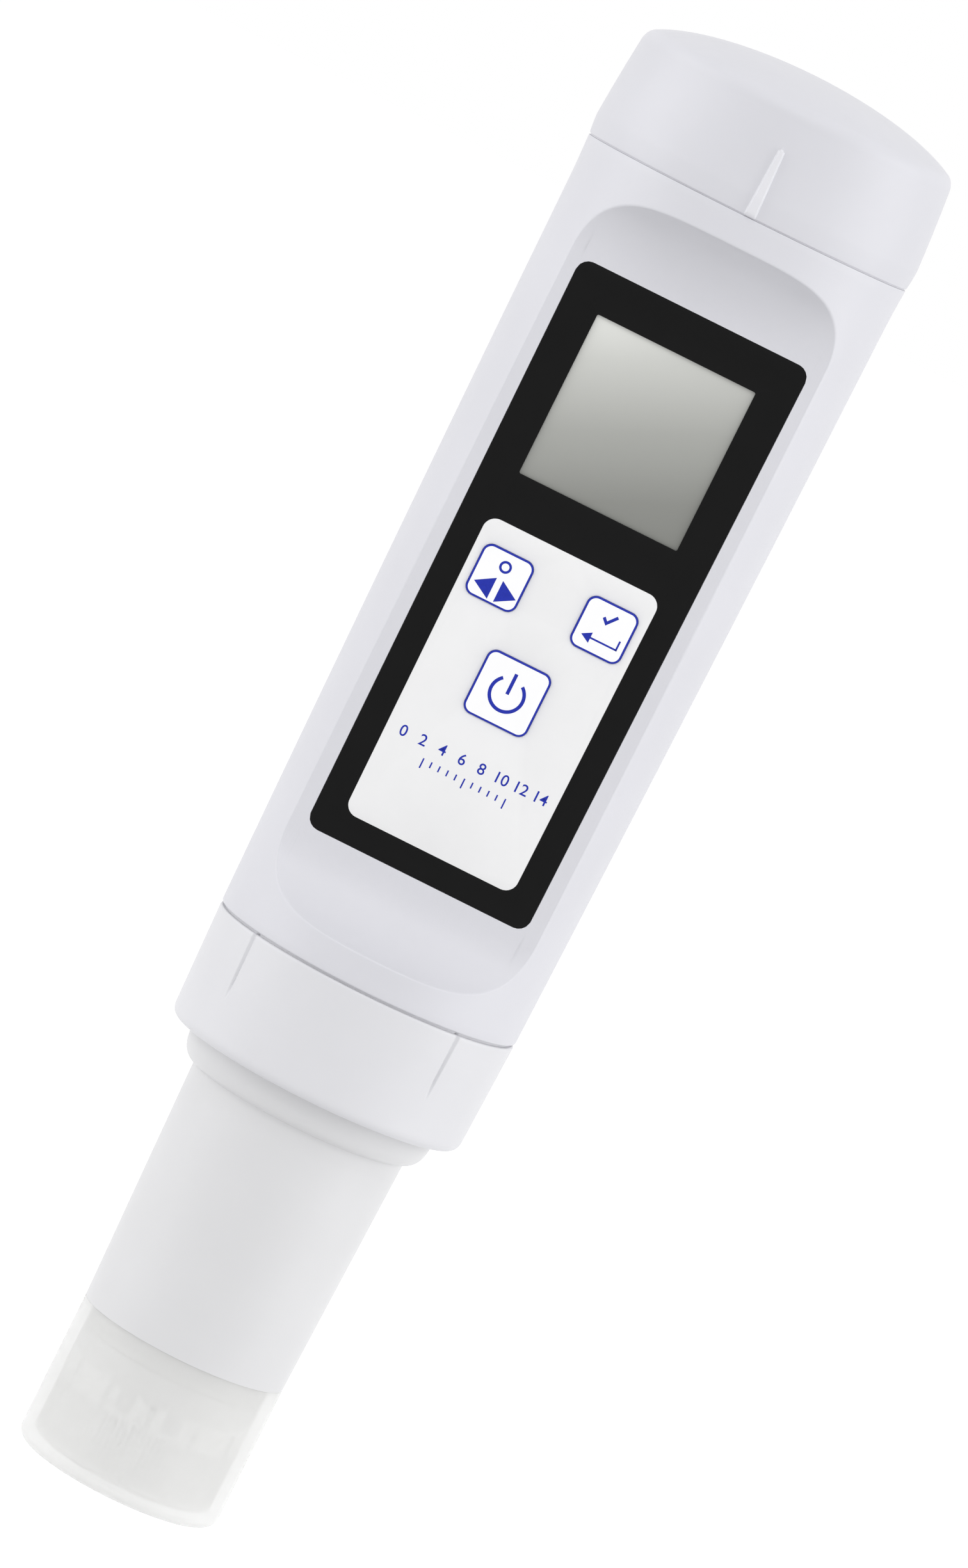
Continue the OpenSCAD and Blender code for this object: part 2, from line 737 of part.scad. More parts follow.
// Disc inside the cap's spigot that carries the two bridging contacts
module contact_holder() {
    low = z_plates + plate_t;
    color("#3a3a3e") difference() {
        disc(mouth_r - slip - spigot_t - 0.2, low, low + holder_t);
        scoop(face_wall + air);
        disc(0.9, low - 1, low + holder_t + 1);
        disc(2.1, low - 1, low + 1.1);
    }
}

module bridge_contacts() {
    color("silver") for (x = [-1, 1]) translate([x * cell_pitch / 2, (near_y + far_y) / 2, z_plates])
        linear_extrude(plate_t) rounded_rect(6, cell_pitch + 6, 1);
}

module holder_screw() {
    low = z_plates + plate_t;
    color("silver") difference() {
        union() {
            disc(1.9, low + 0.1, low + 1.05);
            disc(0.75, low + 1, low + holder_t + 5);
        }
        for (turn = [0, 90]) rotate([0, 0, turn]) translate([0, 0, low])
            cube([2.2, 0.4, 1], center = true);
    }
}

module locking_collar() {
    top_r = body_r(z_body) - 0.03;
    low_r = body_low_d / 2 - collar_draft;
    high = z_body - seam;
    steps = 6;
    shank = [low_r + 0.03, z_collar + collar_r];
    color("#e2e2e4") difference() {
        rotate_extrude() polygon(concat(
            [[shoulder_r + thread_fit, z_collar], [low_r - collar_r, z_collar]],
            [for (i = [1:steps]) bend([low_r - collar_r, z_collar], [low_r, z_collar], shank, i / steps)],
            [[top_r, high], [neck_r + thread_fit, high], [neck_r + thread_fit, z_washer],
                [shoulder_r + thread_fit, z_washer]]
        ));
        for (i = [0:3]) rotate([0, 0, 45 + 90 * i + groove_turn]) translate([top_r - 0.5, 0, high])
            rotate([0, 2.6, 0]) rotate([90, 0, 90]) linear_extrude(2)
                polygon([[-0.35, 1], [0.35, 1], [0.12, -groove_len], [-0.12, -groove_len]]);
    }
}

module slip_washer() {
    color("#c8c8c0") ring(neck_r - slip, shoulder_r + slip, z_washer, z_washer + washer_t);
}

// Sensor module: plug, flange, shoulder, tapered barrel and nose, bored through from both ends
module sensor_module() {
    plug_r = neck_bore_r - slip;
    steps = 6;
    color("#e0e0de") difference() {
        rotate_extrude() polygon(concat(
            [[0, z_nose], [nose_r - 0.8, z_nose], [nose_r, z_nose + 0.8], [nose_r, z_rim + slip],
                [barrel_low_r, z_rim + slip], [barrel_top_r, z_shoulder]],
            [for (i = [0:steps]) bend([barrel_top_r - 0.4, z_shoulder], [shoulder_r, z_shoulder + 0.4],
                [shoulder_r, z_collar - 0.6], i / steps)],
            [[shoulder_r, z_flange], [neck_r - slip, z_flange], [neck_r - slip, z_flange + flange_t],
                [plug_r, z_flange + flange_t], [plug_r, z_plug - 0.6], [plug_r - 0.6, z_plug], [0, z_plug]]
        ));
        disc(module_bore_r, z_ledge, z_plug + 1);
        disc(chamber_r, z_nose - 1, z_ledge + 1);
        gland(neck_bore_r, module_gland_z, seal_r);
        gland(cup_in_r, cup_gland_z, cup_seal_r);
    }
}

module module_seal() {
    color("#202020") seal_ring(neck_bore_r, module_gland_z, seal_r);
}

module module_lid() {
    color("#3a3a3e") difference() {
        disc(module_bore_r - film_gap, z_plug - lid_t, z_plug);
        for (i = [0:pin_count - 1]) translate([(i - (pin_count - 1) / 2) * pin_step, pin_y, 0])
            disc(pin_d / 2 + film_gap, z_plug - lid_t - 1, z_plug + 1);
    }
}

module connector_pins() {
    color("gold") for (i = [0:pin_count - 1])
        translate([(i - (pin_count - 1) / 2) * pin_step, pin_y, 0]) {
            disc(pin_d / 2, z_plug - lid_t - 3, z_plug + 3.8);
            disc(pin_d / 4, z_plug + 3.8 - eps, z_plug + 4.3);
        }
}

module sensor_board() {
    foot = z_ledge + insert_flange_t + 2;
    color("#2f6b45") translate([-sensor_board_w / 2, -0.5, foot])
        cube([sensor_board_w, 1, z_plug - lid_t - 0.3 - foot]);
}

module cell_insert() {
    color("#2a2a2e") difference() {
        union() {
            disc(chamber_r - film_gap, chamber_z, z_ledge + eps);
            disc(module_bore_r - 0.4, z_ledge, z_ledge + insert_flange_t);
        }
        for (turn = [45:90:315]) rotate([0, 0, turn]) translate([electrode_circle / 2, 0, 0])
            disc(electrode_d / 2 + film_gap, chamber_z - 1, z_ledge + insert_flange_t + 1);
        disc(probe_d / 2 + film_gap, chamber_z - 1, z_ledge + insert_flange_t + 1);
    }
}

module electrodes() {
    tip = z_nose - electrode_reach;
    top = z_ledge + insert_flange_t + 1.5;
    color("silver") for (turn = [45:90:315]) rotate([0, 0, turn]) translate([electrode_circle / 2, 0, 0]) {
        disc(electrode_d / 2, tip + 0.4, top);
        translate([0, 0, tip]) cylinder(r1 = electrode_d / 2 - 0.4, r2 = electrode_d / 2, h = 0.4 + eps, $fn = 48);
    }
}

module temperature_probe() {
    r = probe_d / 2;
    tip = z_nose - electrode_reach + 1.2;
    color("silver") {
        disc(r, tip + r, z_ledge + insert_flange_t + 1.5);
        translate([0, 0, tip + r]) sphere(r, $fn = 48);
    }
}

module cup_seal() {
    color("#202020") seal_ring(cup_in_r, cup_gland_z, cup_seal_r);
}

// Clear cup with a round foot edge; the ribs inside stop it against the nose
module storage_cup() {
    outer = barrel_low_r;
    floor_z = cup_wall + 0.1;
    color("#dcdcd8", 0.6) {
        difference() {
            rotate_extrude() {
                translate([0, cup_r]) square([outer, cup_h - cup_r]);
                square([outer - cup_r, cup_r + eps]);
                translate([outer - cup_r, cup_r]) circle(cup_r);
            }
            rotate_extrude() {
                translate([0, floor_z + 1]) square([cup_in_r, cup_h]);
                translate([0, floor_z]) square([cup_in_r - 1, 2]);
                translate([cup_in_r - 1, floor_z + 1]) circle(1);
            }
        }
        for (i = [0:cup_ribs - 1]) rotate([0, 0, 360 / cup_ribs * (i + 0.5)])
            translate([cup_in_r - rib_depth, -0.3, floor_z - eps])
                cube([rib_depth + cup_wall / 2, 0.6, z_nose - air - floor_z]);
    }
}

body_shell();
panel_film();
key_sheet();
left_key();
right_key();
lower_key();
left_switch_button();
right_switch_button();
lower_switch_button();
switch_bases();
display_window();
display_glass();
display_frame();
contact_strips();
main_board();
controller_chip();
board_parts();
board_screws();
connector_socket();
battery_carrier();
contact_board();
contact_springs();
cell_1();
cell_2();
cell_3();
cell_4();
battery_cap();
cap_seal();
contact_holder();
bridge_contacts();
holder_screw();
locking_collar();
slip_washer();
sensor_module();
module_seal();
module_lid();
connector_pins();
sensor_board();
cell_insert();
electrodes();
temperature_probe();
cup_seal();
storage_cup();
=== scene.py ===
from bisect import bisect_left
import math

import bmesh
import bpy
from mathutils import Matrix, Vector


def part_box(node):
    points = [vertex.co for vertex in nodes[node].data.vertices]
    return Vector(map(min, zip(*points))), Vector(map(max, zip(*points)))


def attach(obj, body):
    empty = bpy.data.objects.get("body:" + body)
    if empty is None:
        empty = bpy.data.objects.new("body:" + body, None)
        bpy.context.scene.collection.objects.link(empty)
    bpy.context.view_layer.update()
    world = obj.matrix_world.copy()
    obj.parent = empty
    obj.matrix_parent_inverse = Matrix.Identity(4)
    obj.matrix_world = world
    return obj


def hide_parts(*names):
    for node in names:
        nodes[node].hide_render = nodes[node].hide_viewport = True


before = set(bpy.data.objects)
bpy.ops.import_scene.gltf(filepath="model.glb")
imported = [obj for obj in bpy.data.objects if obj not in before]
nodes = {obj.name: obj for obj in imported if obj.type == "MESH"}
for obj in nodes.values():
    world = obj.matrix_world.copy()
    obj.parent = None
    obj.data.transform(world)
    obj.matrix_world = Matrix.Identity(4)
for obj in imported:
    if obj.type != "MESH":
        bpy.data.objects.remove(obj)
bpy.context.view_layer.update()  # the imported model, standing on its cup, with the panel towards -Y
print("frame loaded:", len(nodes), "nodes")

mm = 0.001  # every mesh is built in millimetres and scaled once at its end


def low(node):
    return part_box(node)[0] / mm


def high(node):
    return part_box(node)[1] / mm


# Camera

cameraSettings = {
    "place": (0.0, -0.95, 0.1858),
    "aim": (0.0022, 0.0, 0.0902),
    "roll": 26.5,  # how far the tester leans to the right in the picture
    "focalPixels": 13210,
    "imageHeight": 2450,
    "sensor": 36,
}


def makeCamera():
    place = Vector(cameraSettings["place"])
    forward = (Vector(cameraSettings["aim"]) - place).normalized()
    right = forward.cross(Vector((0, 0, 1))).normalized()
    up = right.cross(forward)
    roll = math.radians(cameraSettings["roll"])
    cameraRight = math.cos(roll) * right + math.sin(roll) * up
    cameraUp = math.cos(roll) * up - math.sin(roll) * right
    turn = Matrix((cameraRight, cameraUp, -forward)).transposed().to_4x4()
    data = bpy.data.cameras.new("camera")
    data.sensor_width = cameraSettings["sensor"]
    data.lens = cameraSettings["sensor"] * cameraSettings["focalPixels"] / cameraSettings["imageHeight"]
    camera = bpy.data.objects.new("camera", data)
    camera.matrix_world = Matrix.Translation(place) @ turn
    bpy.context.scene.collection.objects.link(camera)
    bpy.context.scene.camera = camera


makeCamera()


# Materials

def linear(*levels):
    # Colour from the eight bit levels that it should show
    return tuple((v / 255 / 12.92 if v <= 10 else ((v / 255 + 0.055) / 1.055) ** 2.4) for v in levels)


def blank(name):
    material = bpy.data.materials.new(name)
    material.use_nodes = True
    tree = material.node_tree
    return material, tree, tree.nodes["Principled BSDF"]


def setSockets(node, values):
    for name, value in values.items():
        node.inputs[name].default_value = value


def objectPlace(tree, scale, location=(0, 0, 0)):
    place = tree.nodes.new("ShaderNodeTexCoord")
    mapping = tree.nodes.new("ShaderNodeMapping")
    setSockets(mapping, {"Location": location, "Scale": scale})
    tree.links.new(place.outputs["Object"], mapping.inputs["Vector"])
    return mapping.outputs["Vector"]


def objectNoise(tree, scale, detail=3, stretch=(1, 1, 1)):
    # Noise on object coordinates, with its scale in waves per millimetre
    noise = tree.nodes.new("ShaderNodeTexNoise")
    setSockets(noise, {"Scale": 1, "Detail": detail})
    tree.links.new(objectPlace(tree, [scale / mm * s for s in stretch]), noise.inputs["Vector"])
    return noise.outputs["Fac"]


def colourRamp(tree, factor, stops):
    # The colour along stops of (position, colour)
    ramp = tree.nodes.new("ShaderNodeValToRGB")
    elements = ramp.color_ramp.elements
    elements[0].position, elements[1].position = stops[0][0], stops[-1][0]
    for position, _ in stops[1:-1]:
        elements.new(position)
    for element, (_, colour) in zip(elements, stops):
        element.color = (*colour, 1)
    tree.links.new(factor, ramp.inputs["Fac"])
    return ramp.outputs["Color"]


def valueBetween(tree, factor, spans):
    span = tree.nodes.new("ShaderNodeMapRange")
    setSockets(span, spans)
    tree.links.new(factor, span.inputs["Value"])
    return span.outputs["Result"]


def addRoughness(tree, shader, factor, least, most):
    rough = valueBetween(tree, factor, {"To Min": least, "To Max": most})
    tree.links.new(rough, shader.inputs["Roughness"])


def addBump(tree, shader, height, strength, depth):
    bump = tree.nodes.new("ShaderNodeBump")
    setSockets(bump, {"Strength": strength, "Distance": depth * mm})
    tree.links.new(height, bump.inputs["Height"])
    tree.links.new(bump.outputs["Normal"], shader.inputs["Normal"])


def mottled(name, levels, fade, waves, detail=3, stretch=(1, 1, 1)):
    # A material whose colour wanders between the levels and a darker shade
    material, tree, shader = blank(name)
    light = linear(*levels)
    noise = objectNoise(tree, waves, detail, stretch)
    stops = [(0.3, [fade * c for c in light]), (0.7, light)]
    tree.links.new(colourRamp(tree, noise, stops), shader.inputs["Base Color"])
    return material, tree, shader, noise


def mouldedPlastic(name, levels, roughness=0.38, grain=5.0, relief=0.012):
    # Satin moulded plastic: fine spark-eroded grain, slight unevenness of colour and gloss
    material, tree, shader, _ = mottled(name, levels, 0.972, 0.08, 4)
    addRoughness(tree, shader, objectNoise(tree, 0.6), roughness - 0.05, roughness + 0.07)
    setSockets(shader, {"Specular IOR Level": 0.35})
    addBump(tree, shader, objectNoise(tree, grain, 2), 0.35, relief)
    return material


def rubber(name, levels):
    material, tree, shader, _ = mottled(name, levels, 0.8, 1.5)
    setSockets(shader, {"Roughness": 0.62, "Specular IOR Level": 0.3})
    addBump(tree, shader, objectNoise(tree, 8, 2), 0.4, 0.02)
    return material


def metal(name, levels, roughness):
    # Drawn or turned metal, with fine marks along its length
    material, tree, shader, marks = mottled(name, levels, 0.82, 1.2, 5, (1, 1, 8))
    addRoughness(tree, shader, marks, roughness - 0.07, roughness + 0.1)
    setSockets(shader, {"Metallic": 1})
    addBump(tree, shader, marks, 0.2, 0.01)
    return material


def ink(name, levels):
    # Screen-printed ink, a little uneven in coverage
    material, tree, shader, _ = mottled(name, levels, 0.86, 3, 4)
    setSockets(shader, {"Roughness": 0.5, "Specular IOR Level": 0.25})
    return material


def paintedFilm(name, levels, roughness=0.42, sheen=0.2, fade=0.985):
    # Back-printed plastic film with a fine matt texture
    material, tree, shader, _ = mottled(name, levels, fade, 0.3)
    addRoughness(tree, shader, objectNoise(tree, 2), roughness - 0.04, roughness + 0.06)
    setSockets(shader, {"Specular IOR Level": sheen})
    addBump(tree, shader, objectNoise(tree, 9, 2), 0.3, 0.006)
    return material


def milkyPlastic(name, levels, cover):
    # Unpigmented cup plastic: cloudy, lets light through its wall and shows faintly what is inside
    material, tree, shader, _ = mottled(name, levels, 0.985, 0.12)
    addRoughness(tree, shader, objectNoise(tree, 0.5), 0.26, 0.36)
    setSockets(shader, {"Alpha": cover, "Subsurface Weight": 0.4, "Subsurface Radius": (0.002, 0.002, 0.002),
                        "Subsurface Scale": 1, "Specular IOR Level": 0.4})
    addBump(tree, shader, objectNoise(tree, 1.2, 2), 0.2, 0.012)
    return material


paintedReflectionSettings = {
    # millimetres from the middle, towards the lower right, and the level of the painted reflection there
    "levels": [(-12.8, 239), (-7.9, 212), (-3.2, 191), (0, 175), (3.2, 165), (7.9, 145), (12.8, 138)],
    "lean": 24,  # degrees that the shading leans away from straight down
}


def paintedReflectionPolariser(name, levels, cover=1):
    # Grey green polariser film with a painted reflection: light at its upper left, darker towards its lower
    # right
    material, tree, shader = blank(name)
    lowest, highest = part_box("display_window")
    middle = [-(a + b) / 2 / mm for a, b in zip(lowest, highest)]
    lean = math.radians(paintedReflectionSettings["lean"])
    across = tree.nodes.new("ShaderNodeVectorMath")
    across.operation = "DOT_PRODUCT"
    across.inputs[1].default_value = (math.sin(lean), 0, -math.cos(lean))
    tree.links.new(objectPlace(tree, [1 / mm] * 3, middle), across.inputs[0])
    first, last = levels[0][0], levels[-1][0]
    along = valueBetween(tree, across.outputs["Value"], {"From Min": first, "From Max": last})
    stops = [((distance - first) / (last - first), linear(level, level + 1, level - 4))
             for distance, level in levels]
    tree.links.new(colourRamp(tree, along, stops), shader.inputs["Base Color"])
    setSockets(shader, {"Alpha": cover, "Roughness": 0.35, "Specular IOR Level": 0.3})
    addBump(tree, shader, objectNoise(tree, 1.0, 2), 0.06, 0.006)
    return material


# name, maker, levels to show, other settings, nodes of the solids that have this finish
finishes = [
    # one white plastic, set a little darker on the cap and body and a little lighter on the collar and
    # module: painted shade above, painted light below
    ("bodyPlastic", mouldedPlastic, (215, 215, 220), {}, "body_shell"),
    ("capPlastic", mouldedPlastic, (213, 213, 218), {}, "battery_cap"),
    # the rib's finish is the cap's plastic made lighter: a painted highlight for the light that the rib
    # catches
    ("pointerPlastic", mouldedPlastic, (226, 226, 230), {"roughness": 0.34}, ""),
    ("collarPlastic", mouldedPlastic, (220, 220, 223), {}, "locking_collar"),
    ("modulePlastic", mouldedPlastic, (219, 219, 220), {"roughness": 0.36}, "sensor_module"),
    ("cupPlastic", milkyPlastic, (247, 247, 245), {"cover": 0.6}, "storage_cup"),
    ("filmBlack", paintedFilm, (17, 17, 17), {"sheen": 0.09, "fade": 0.9}, "panel_film"),
    ("sheetGrey", paintedFilm, (238, 238, 238), {"roughness": 0.5}, "key_sheet"),
    ("keyWhite", paintedFilm, (253, 253, 253), {"roughness": 0.45}, "left_key right_key lower_key"),
    ("inkBlue", ink, (29, 46, 170), {}, ""),
    # the window and the display glass both carry the painted reflection; the window nearly covers what lies
    # behind it
    ("windowTint", paintedReflectionPolariser, paintedReflectionSettings["levels"], {"cover": 0.9}, "display_window"),
    ("displayFilm", paintedReflectionPolariser, paintedReflectionSettings["levels"], {}, "display_glass"),
    ("frameGrey", mouldedPlastic, (205, 205, 205), {"roughness": 0.5}, "display_frame"),
    ("stripRubber", rubber, (78, 78, 86), {}, "contact_strips"),
    ("sealRubber", rubber, (38, 38, 40), {}, "cap_seal module_seal"),
    ("sealClear", rubber, (214, 214, 210), {}, "cup_seal"),
    ("boardGreen", mouldedPlastic, (40, 104, 66), {"roughness": 0.3, "grain": 2, "relief": 0.02},
     "main_board contact_board sensor_board"),
    ("chipBlack", mouldedPlastic, (34, 34, 38), {"roughness": 0.55}, "controller_chip"),
    ("switchMetal", metal, (190, 190, 194), {"roughness": 0.35}, "switch_bases"),
    ("buttonBlack", mouldedPlastic, (44, 44, 46), {"roughness": 0.5},
     "left_switch_button right_switch_button lower_switch_button"),
    ("screwSteel", metal, (200, 200, 204), {"roughness": 0.28}, "board_screws holder_screw"),
    ("canMetal", metal, (206, 206, 210), {"roughness": 0.3}, "board_parts"),
    ("socketBlack", mouldedPlastic, (38, 38, 42), {"roughness": 0.5}, "connector_socket"),
    ("carrierGrey", mouldedPlastic, (62, 62, 66), {"roughness": 0.5}, "battery_carrier contact_holder"),
    ("springSteel", metal, (208, 208, 210), {"roughness": 0.2}, "contact_springs bridge_contacts"),
    ("washerPale", mouldedPlastic, (204, 204, 196), {"roughness": 0.4}, "slip_washer"),
    ("pinGold", metal, (226, 190, 110), {"roughness": 0.2}, "connector_pins"),
    ("insertBlack", mouldedPlastic, (42, 42, 46), {"roughness": 0.4}, "module_lid cell_insert"),
    ("electrodeSteel", metal, (196, 196, 198), {"roughness": 0.22}, "electrodes temperature_probe"),
    ("cellSleeve", mouldedPlastic, (196, 118, 44), {"roughness": 0.3}, "cell_1 cell_2 cell_3 cell_4"),
]
looks = {}
for name, make, levels, settings, finished in finishes:
    looks[name] = make(name, levels, **settings)
    for node in finished.split():
        slots = nodes[node].data.materials
        slots.clear()
        slots.append(looks[name])
print("materials made:", len(looks))


# Helpers for new pieces

def gridSurface(bm, columns, rows, place):
    # A grid whose points are moved to place(column, row)
    verts = bmesh.ops.create_grid(bm, x_segments=columns, y_segments=rows, size=1)["verts"]
    left = min(v.co.x for v in verts)
    foot = min(v.co.y for v in verts)
    width = max(v.co.x for v in verts) - left
    height = max(v.co.y for v in verts) - foot
    for v in verts:
        column = round((v.co.x - left) / width * columns)
        row = round((v.co.y - foot) / height * rows)
        v.co = place(column, row)


def addLine(bm, points, closed=False):
    # Vertices along the points and the edges between them
    verts = [bm.verts.new(p) for p in points]
    ends = verts[1:] + verts[:1] if closed else verts[1:]
    return verts, [bm.edges.new(pair) for pair in zip(verts, ends)]


def turnRound(bm, geom, angle, steps, merge=False, rise=0, axis=(0, 0, 1), centre=(0, 0, 0)):
    bmesh.ops.spin(bm, geom=geom, axis=axis, cent=centre, dvec=(0, 0, rise), angle=angle, steps=steps,
                   use_merge=merge, use_duplicate=False)


def spinProfile(bm, profile, steps):
    # Turns a profile of (radius, height) points round the axis
    verts, edges = addLine(bm, [(r, 0, z) for r, z in profile])
    turnRound(bm, verts + edges, math.tau, steps, True)
    closeMesh(bm)


def spinSectors(bm, profile, start, sectors):
    # Turns a profile through sectors of (degrees, steps), from start degrees off the front
    for degrees, steps in sectors:
        turn = math.radians(start)
        verts, edges = addLine(bm, [(r * math.sin(turn), -r * math.cos(turn), z) for r, z in profile])
        turnRound(bm, verts + edges, math.radians(degrees), steps)
        start += degrees


def addThread(bm, ridge, z, lead, turns, steps=72):
    # A closed ridge that winds round the axis; its profile is in (radius, height) points
    verts = [bm.verts.new((r, 0, z + h)) for r, h in ridge]
    first = bm.faces.new(verts)
    turnRound(bm, [first] + list(first.edges) + verts, math.tau * turns, round(steps * turns),
              rise=lead / steps)


def fillFlat(bm, edges):
    bmesh.ops.triangle_fill(bm, use_beauty=True, use_dissolve=False, edges=edges)


def frontAngle(co):
    # Degrees off the front, positive towards the right
    return math.degrees(math.atan2(co.x, -co.y))


def moveOut(co, distance):
    radius = math.hypot(co.x, co.y)
    return Vector((co.x * (1 + distance / radius), co.y * (1 + distance / radius), co.z))


def arcPoints(centre, radius, start, end, steps):
    # Points of an arc in (radius, height), with its angles in degrees from the outward direction
    angles = [math.radians(start + (end - start) * i / steps) for i in range(steps + 1)]
    return [(centre[0] + radius * math.cos(a), centre[1] + radius * math.sin(a)) for a in angles]


def softEdge(radius, z, edge, way):
    # Round edge from the side at radius to the face at z; way is 1 where the side is above the face
    return [(radius - edge * (1 - math.cos(a)), z + way * edge * (1 - math.sin(a)))
            for a in (0, math.pi / 8, math.pi / 4, 3 * math.pi / 8, math.pi / 2)]


def closeMesh(bm, distance=0.002):
    bmesh.ops.remove_doubles(bm, verts=bm.verts, dist=distance)
    bmesh.ops.dissolve_degenerate(bm, edges=bm.edges, dist=distance)
    bmesh.ops.recalc_face_normals(bm, faces=bm.faces)


def makePiece(name, bm, pieceLooks, body, replaced=()):
    print(name, "faces", len(bm.faces), "open edges", sum(e.is_boundary for e in bm.edges))
    bmesh.ops.scale(bm, vec=(mm, mm, mm), verts=bm.verts)
    mesh = bpy.data.meshes.new(name)
    bm.to_mesh(mesh)
    bm.free()
    mesh.polygons.foreach_set("use_smooth", [True] * len(mesh.polygons))
    mesh.set_sharp_from_angle(angle=math.radians(35))
    for look in pieceLooks:
        mesh.materials.append(looks[look])
    piece = bpy.data.objects.new(name, mesh)
    bpy.context.scene.collection.objects.link(piece)
    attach(piece, body)
    if replaced:
        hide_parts(*replaced)


def bend(a, b, c, t):
    # Point of a curve from a to c that leans towards b
    return tuple((1 - t) ** 2 * p + 2 * t * (1 - t) * q + t * t * r for p, q, r in zip(a, b, c))


def between(a, b, t):
    return a + (b - a) * t


def ease(t):
    return t * t * (3 - 2 * t)


def sweep(a, b, c, steps):
    # Points of a curve from a up to but without c, leaning towards b
    return [bend(a, b, c, i / steps) for i in range(steps)]


def lastInside(test, inside, outside, halvings=50):
    # The last place on the way from inside to outside that passes the test
    for _ in range(halvings):
        middle = (inside + outside) / 2
        if test(middle):
            inside = middle
        else:
            outside = middle
    return inside


# Body shell

bodySettings = {
    "foot": high("locking_collar").z + 0.3,  # the collar's seam is 0.3 wide
    "head": high("body_shell").z,
    "lowRadius": 18.5,
    "topRadius": 19.65,
    "swell": 0.13,
    "flare": 0.15,
    "flareLength": 6,
    "inset": 1.9,  # wall and the fit of the cap's spigot
    "headEdge": 0.1,
    "footEdge": 0.22,
    "neckRadius": 16,
    "threadDepth": 0.7,
    "threadStart": 1.5,
    "threadLead": 3,
    "threadTurns": 1.75,
    "neckBore": 14.3,
    "floorRise": 1.4,
    "floorThickness": 2.4,
    "slotPlay": 0.3,
    "bossRadius": 2.0,
    "bossHole": 0.8,
    "bossRoot": 0.8,
    "bossEnd": 4.1,
    "bossEdge": 0.15,
    # across and up from the panel's foot
    "bossPlaces": [(-11.4, -1), (11.4, -1), (-11.4, 40.9), (11.4, 40.9)],
}

scoopSettings = {
    "panelFoot": 13,
    "panelLength": 70.5,
    "lowDepth": 8.29,
    "topDepth": 7.89,
    "bareHead": 0.8,
    "bareFoot": 1,
    "headRadius": 8.1,
    "footRadius": 8.2,
    "faceWall": 1.6,
    "fillet": 0.27,
    "filletSteps": 4,
    "points": 400,  # round the edge of the scoop
    "spread": 80,  # degrees from the front to where the plain back starts
    "backSteps": 60,
}

panelSettings = {
    "lowWidth": high("panel_film").x * 2 - 1,
    "topWidth": high("panel_film").x * 2,
    "corner": 1.5,
    "gap": 0.05,
    "film": 0.3,
    "softEdge": 0.05,
    "pocket": 0.36,
}


def bodyRadius(z):
    s = bodySettings
    t = (z - s["foot"]) / (s["head"] - s["foot"])
    m = max(0, 1 - (s["head"] - z) / s["flareLength"])
    return between(s["lowRadius"], s["topRadius"], t) + 4 * s["swell"] * t * (1 - t) + s["flare"] * m * m


def makeFaceFrame():
    # The frame of the flat face: x across it, z up it, y into the body
    s = scoopSettings
    foot = bodySettings["foot"] + s["panelFoot"]
    lowY = bodyRadius(foot) - s["lowDepth"]
    topY = bodyRadius(foot + s["panelLength"]) - s["topDepth"]
    tilt = math.atan((topY - lowY) / s["panelLength"])
    return Matrix.Translation((0, -lowY, foot)) @ Matrix.Rotation(tilt, 4, "X")


faceFrame = makeFaceFrame()


def scoopPoint(x, s, grow=0):
    # Point of the scoop at x across and s along its line: a straight face with a round sweep at each end
    f = scoopSettings
    ends = ((f["panelLength"] + f["bareHead"], 1, f["headRadius"]), (-f["bareFoot"], -1, f["footRadius"]))
    for start, way, radius in ends:
        past = (s - start) * way
        if past > 0:
            angle = min(past / radius, math.pi / 2)
            straight = past - angle * radius
            out = radius - (radius + grow) * math.cos(angle) + straight
            return faceFrame @ Vector((x, -out, start + way * (radius + grow) * math.sin(angle)))
    return faceFrame @ Vector((x, grow, s))


def wallPoint(angle, z, inset=0):
    r = bodyRadius(z) - inset
    return Vector((r * math.sin(angle), -r * math.cos(angle), z))


def scoopEdge(inset, grow, count):
    # The closed edge where the scoop cuts the round wall, evenly spaced, as (x, s) from its foot
    # round to the right
    def room(s):
        point = scoopPoint(0, s, grow)
        return (bodyRadius(point.z) - inset) ** 2 - point.y ** 2

    foot = lastInside(lambda s: room(s) > 0, 0, -30)
    length = scoopSettings["panelLength"]
    head = lastInside(lambda s: room(s) > 0, length, length + 30)
    samples = 2000
    dense = []
    for i in range(samples + 1):
        s = (foot + head) / 2 + (head - foot) / 2 * math.sin(math.pi * (i / samples - 0.5))
        x = math.sqrt(max(0, room(s)))
        dense.append((x, s, scoopPoint(x, s, grow)))
    lengths = [0]
    for a, b in zip(dense, dense[1:]):
        lengths.append(lengths[-1] + (b[2] - a[2]).length)
    right = []
    k = 0
    for i in range(count // 2 + 1):
        goal = lengths[-1] * i / (count // 2)
        while k < samples - 1 and lengths[k + 1] < goal:
            k += 1
        t = (goal - lengths[k]) / max(1e-9, lengths[k + 1] - lengths[k])
        right.append(tuple(between(a, b, min(1, t)) for a, b in zip(dense[k][:2], dense[k + 1][:2])))
    right[0] = (0, foot)
    right[-1] = (0, head)
    return right + [(-x, s) for x, s in reversed(right[1:-1])]


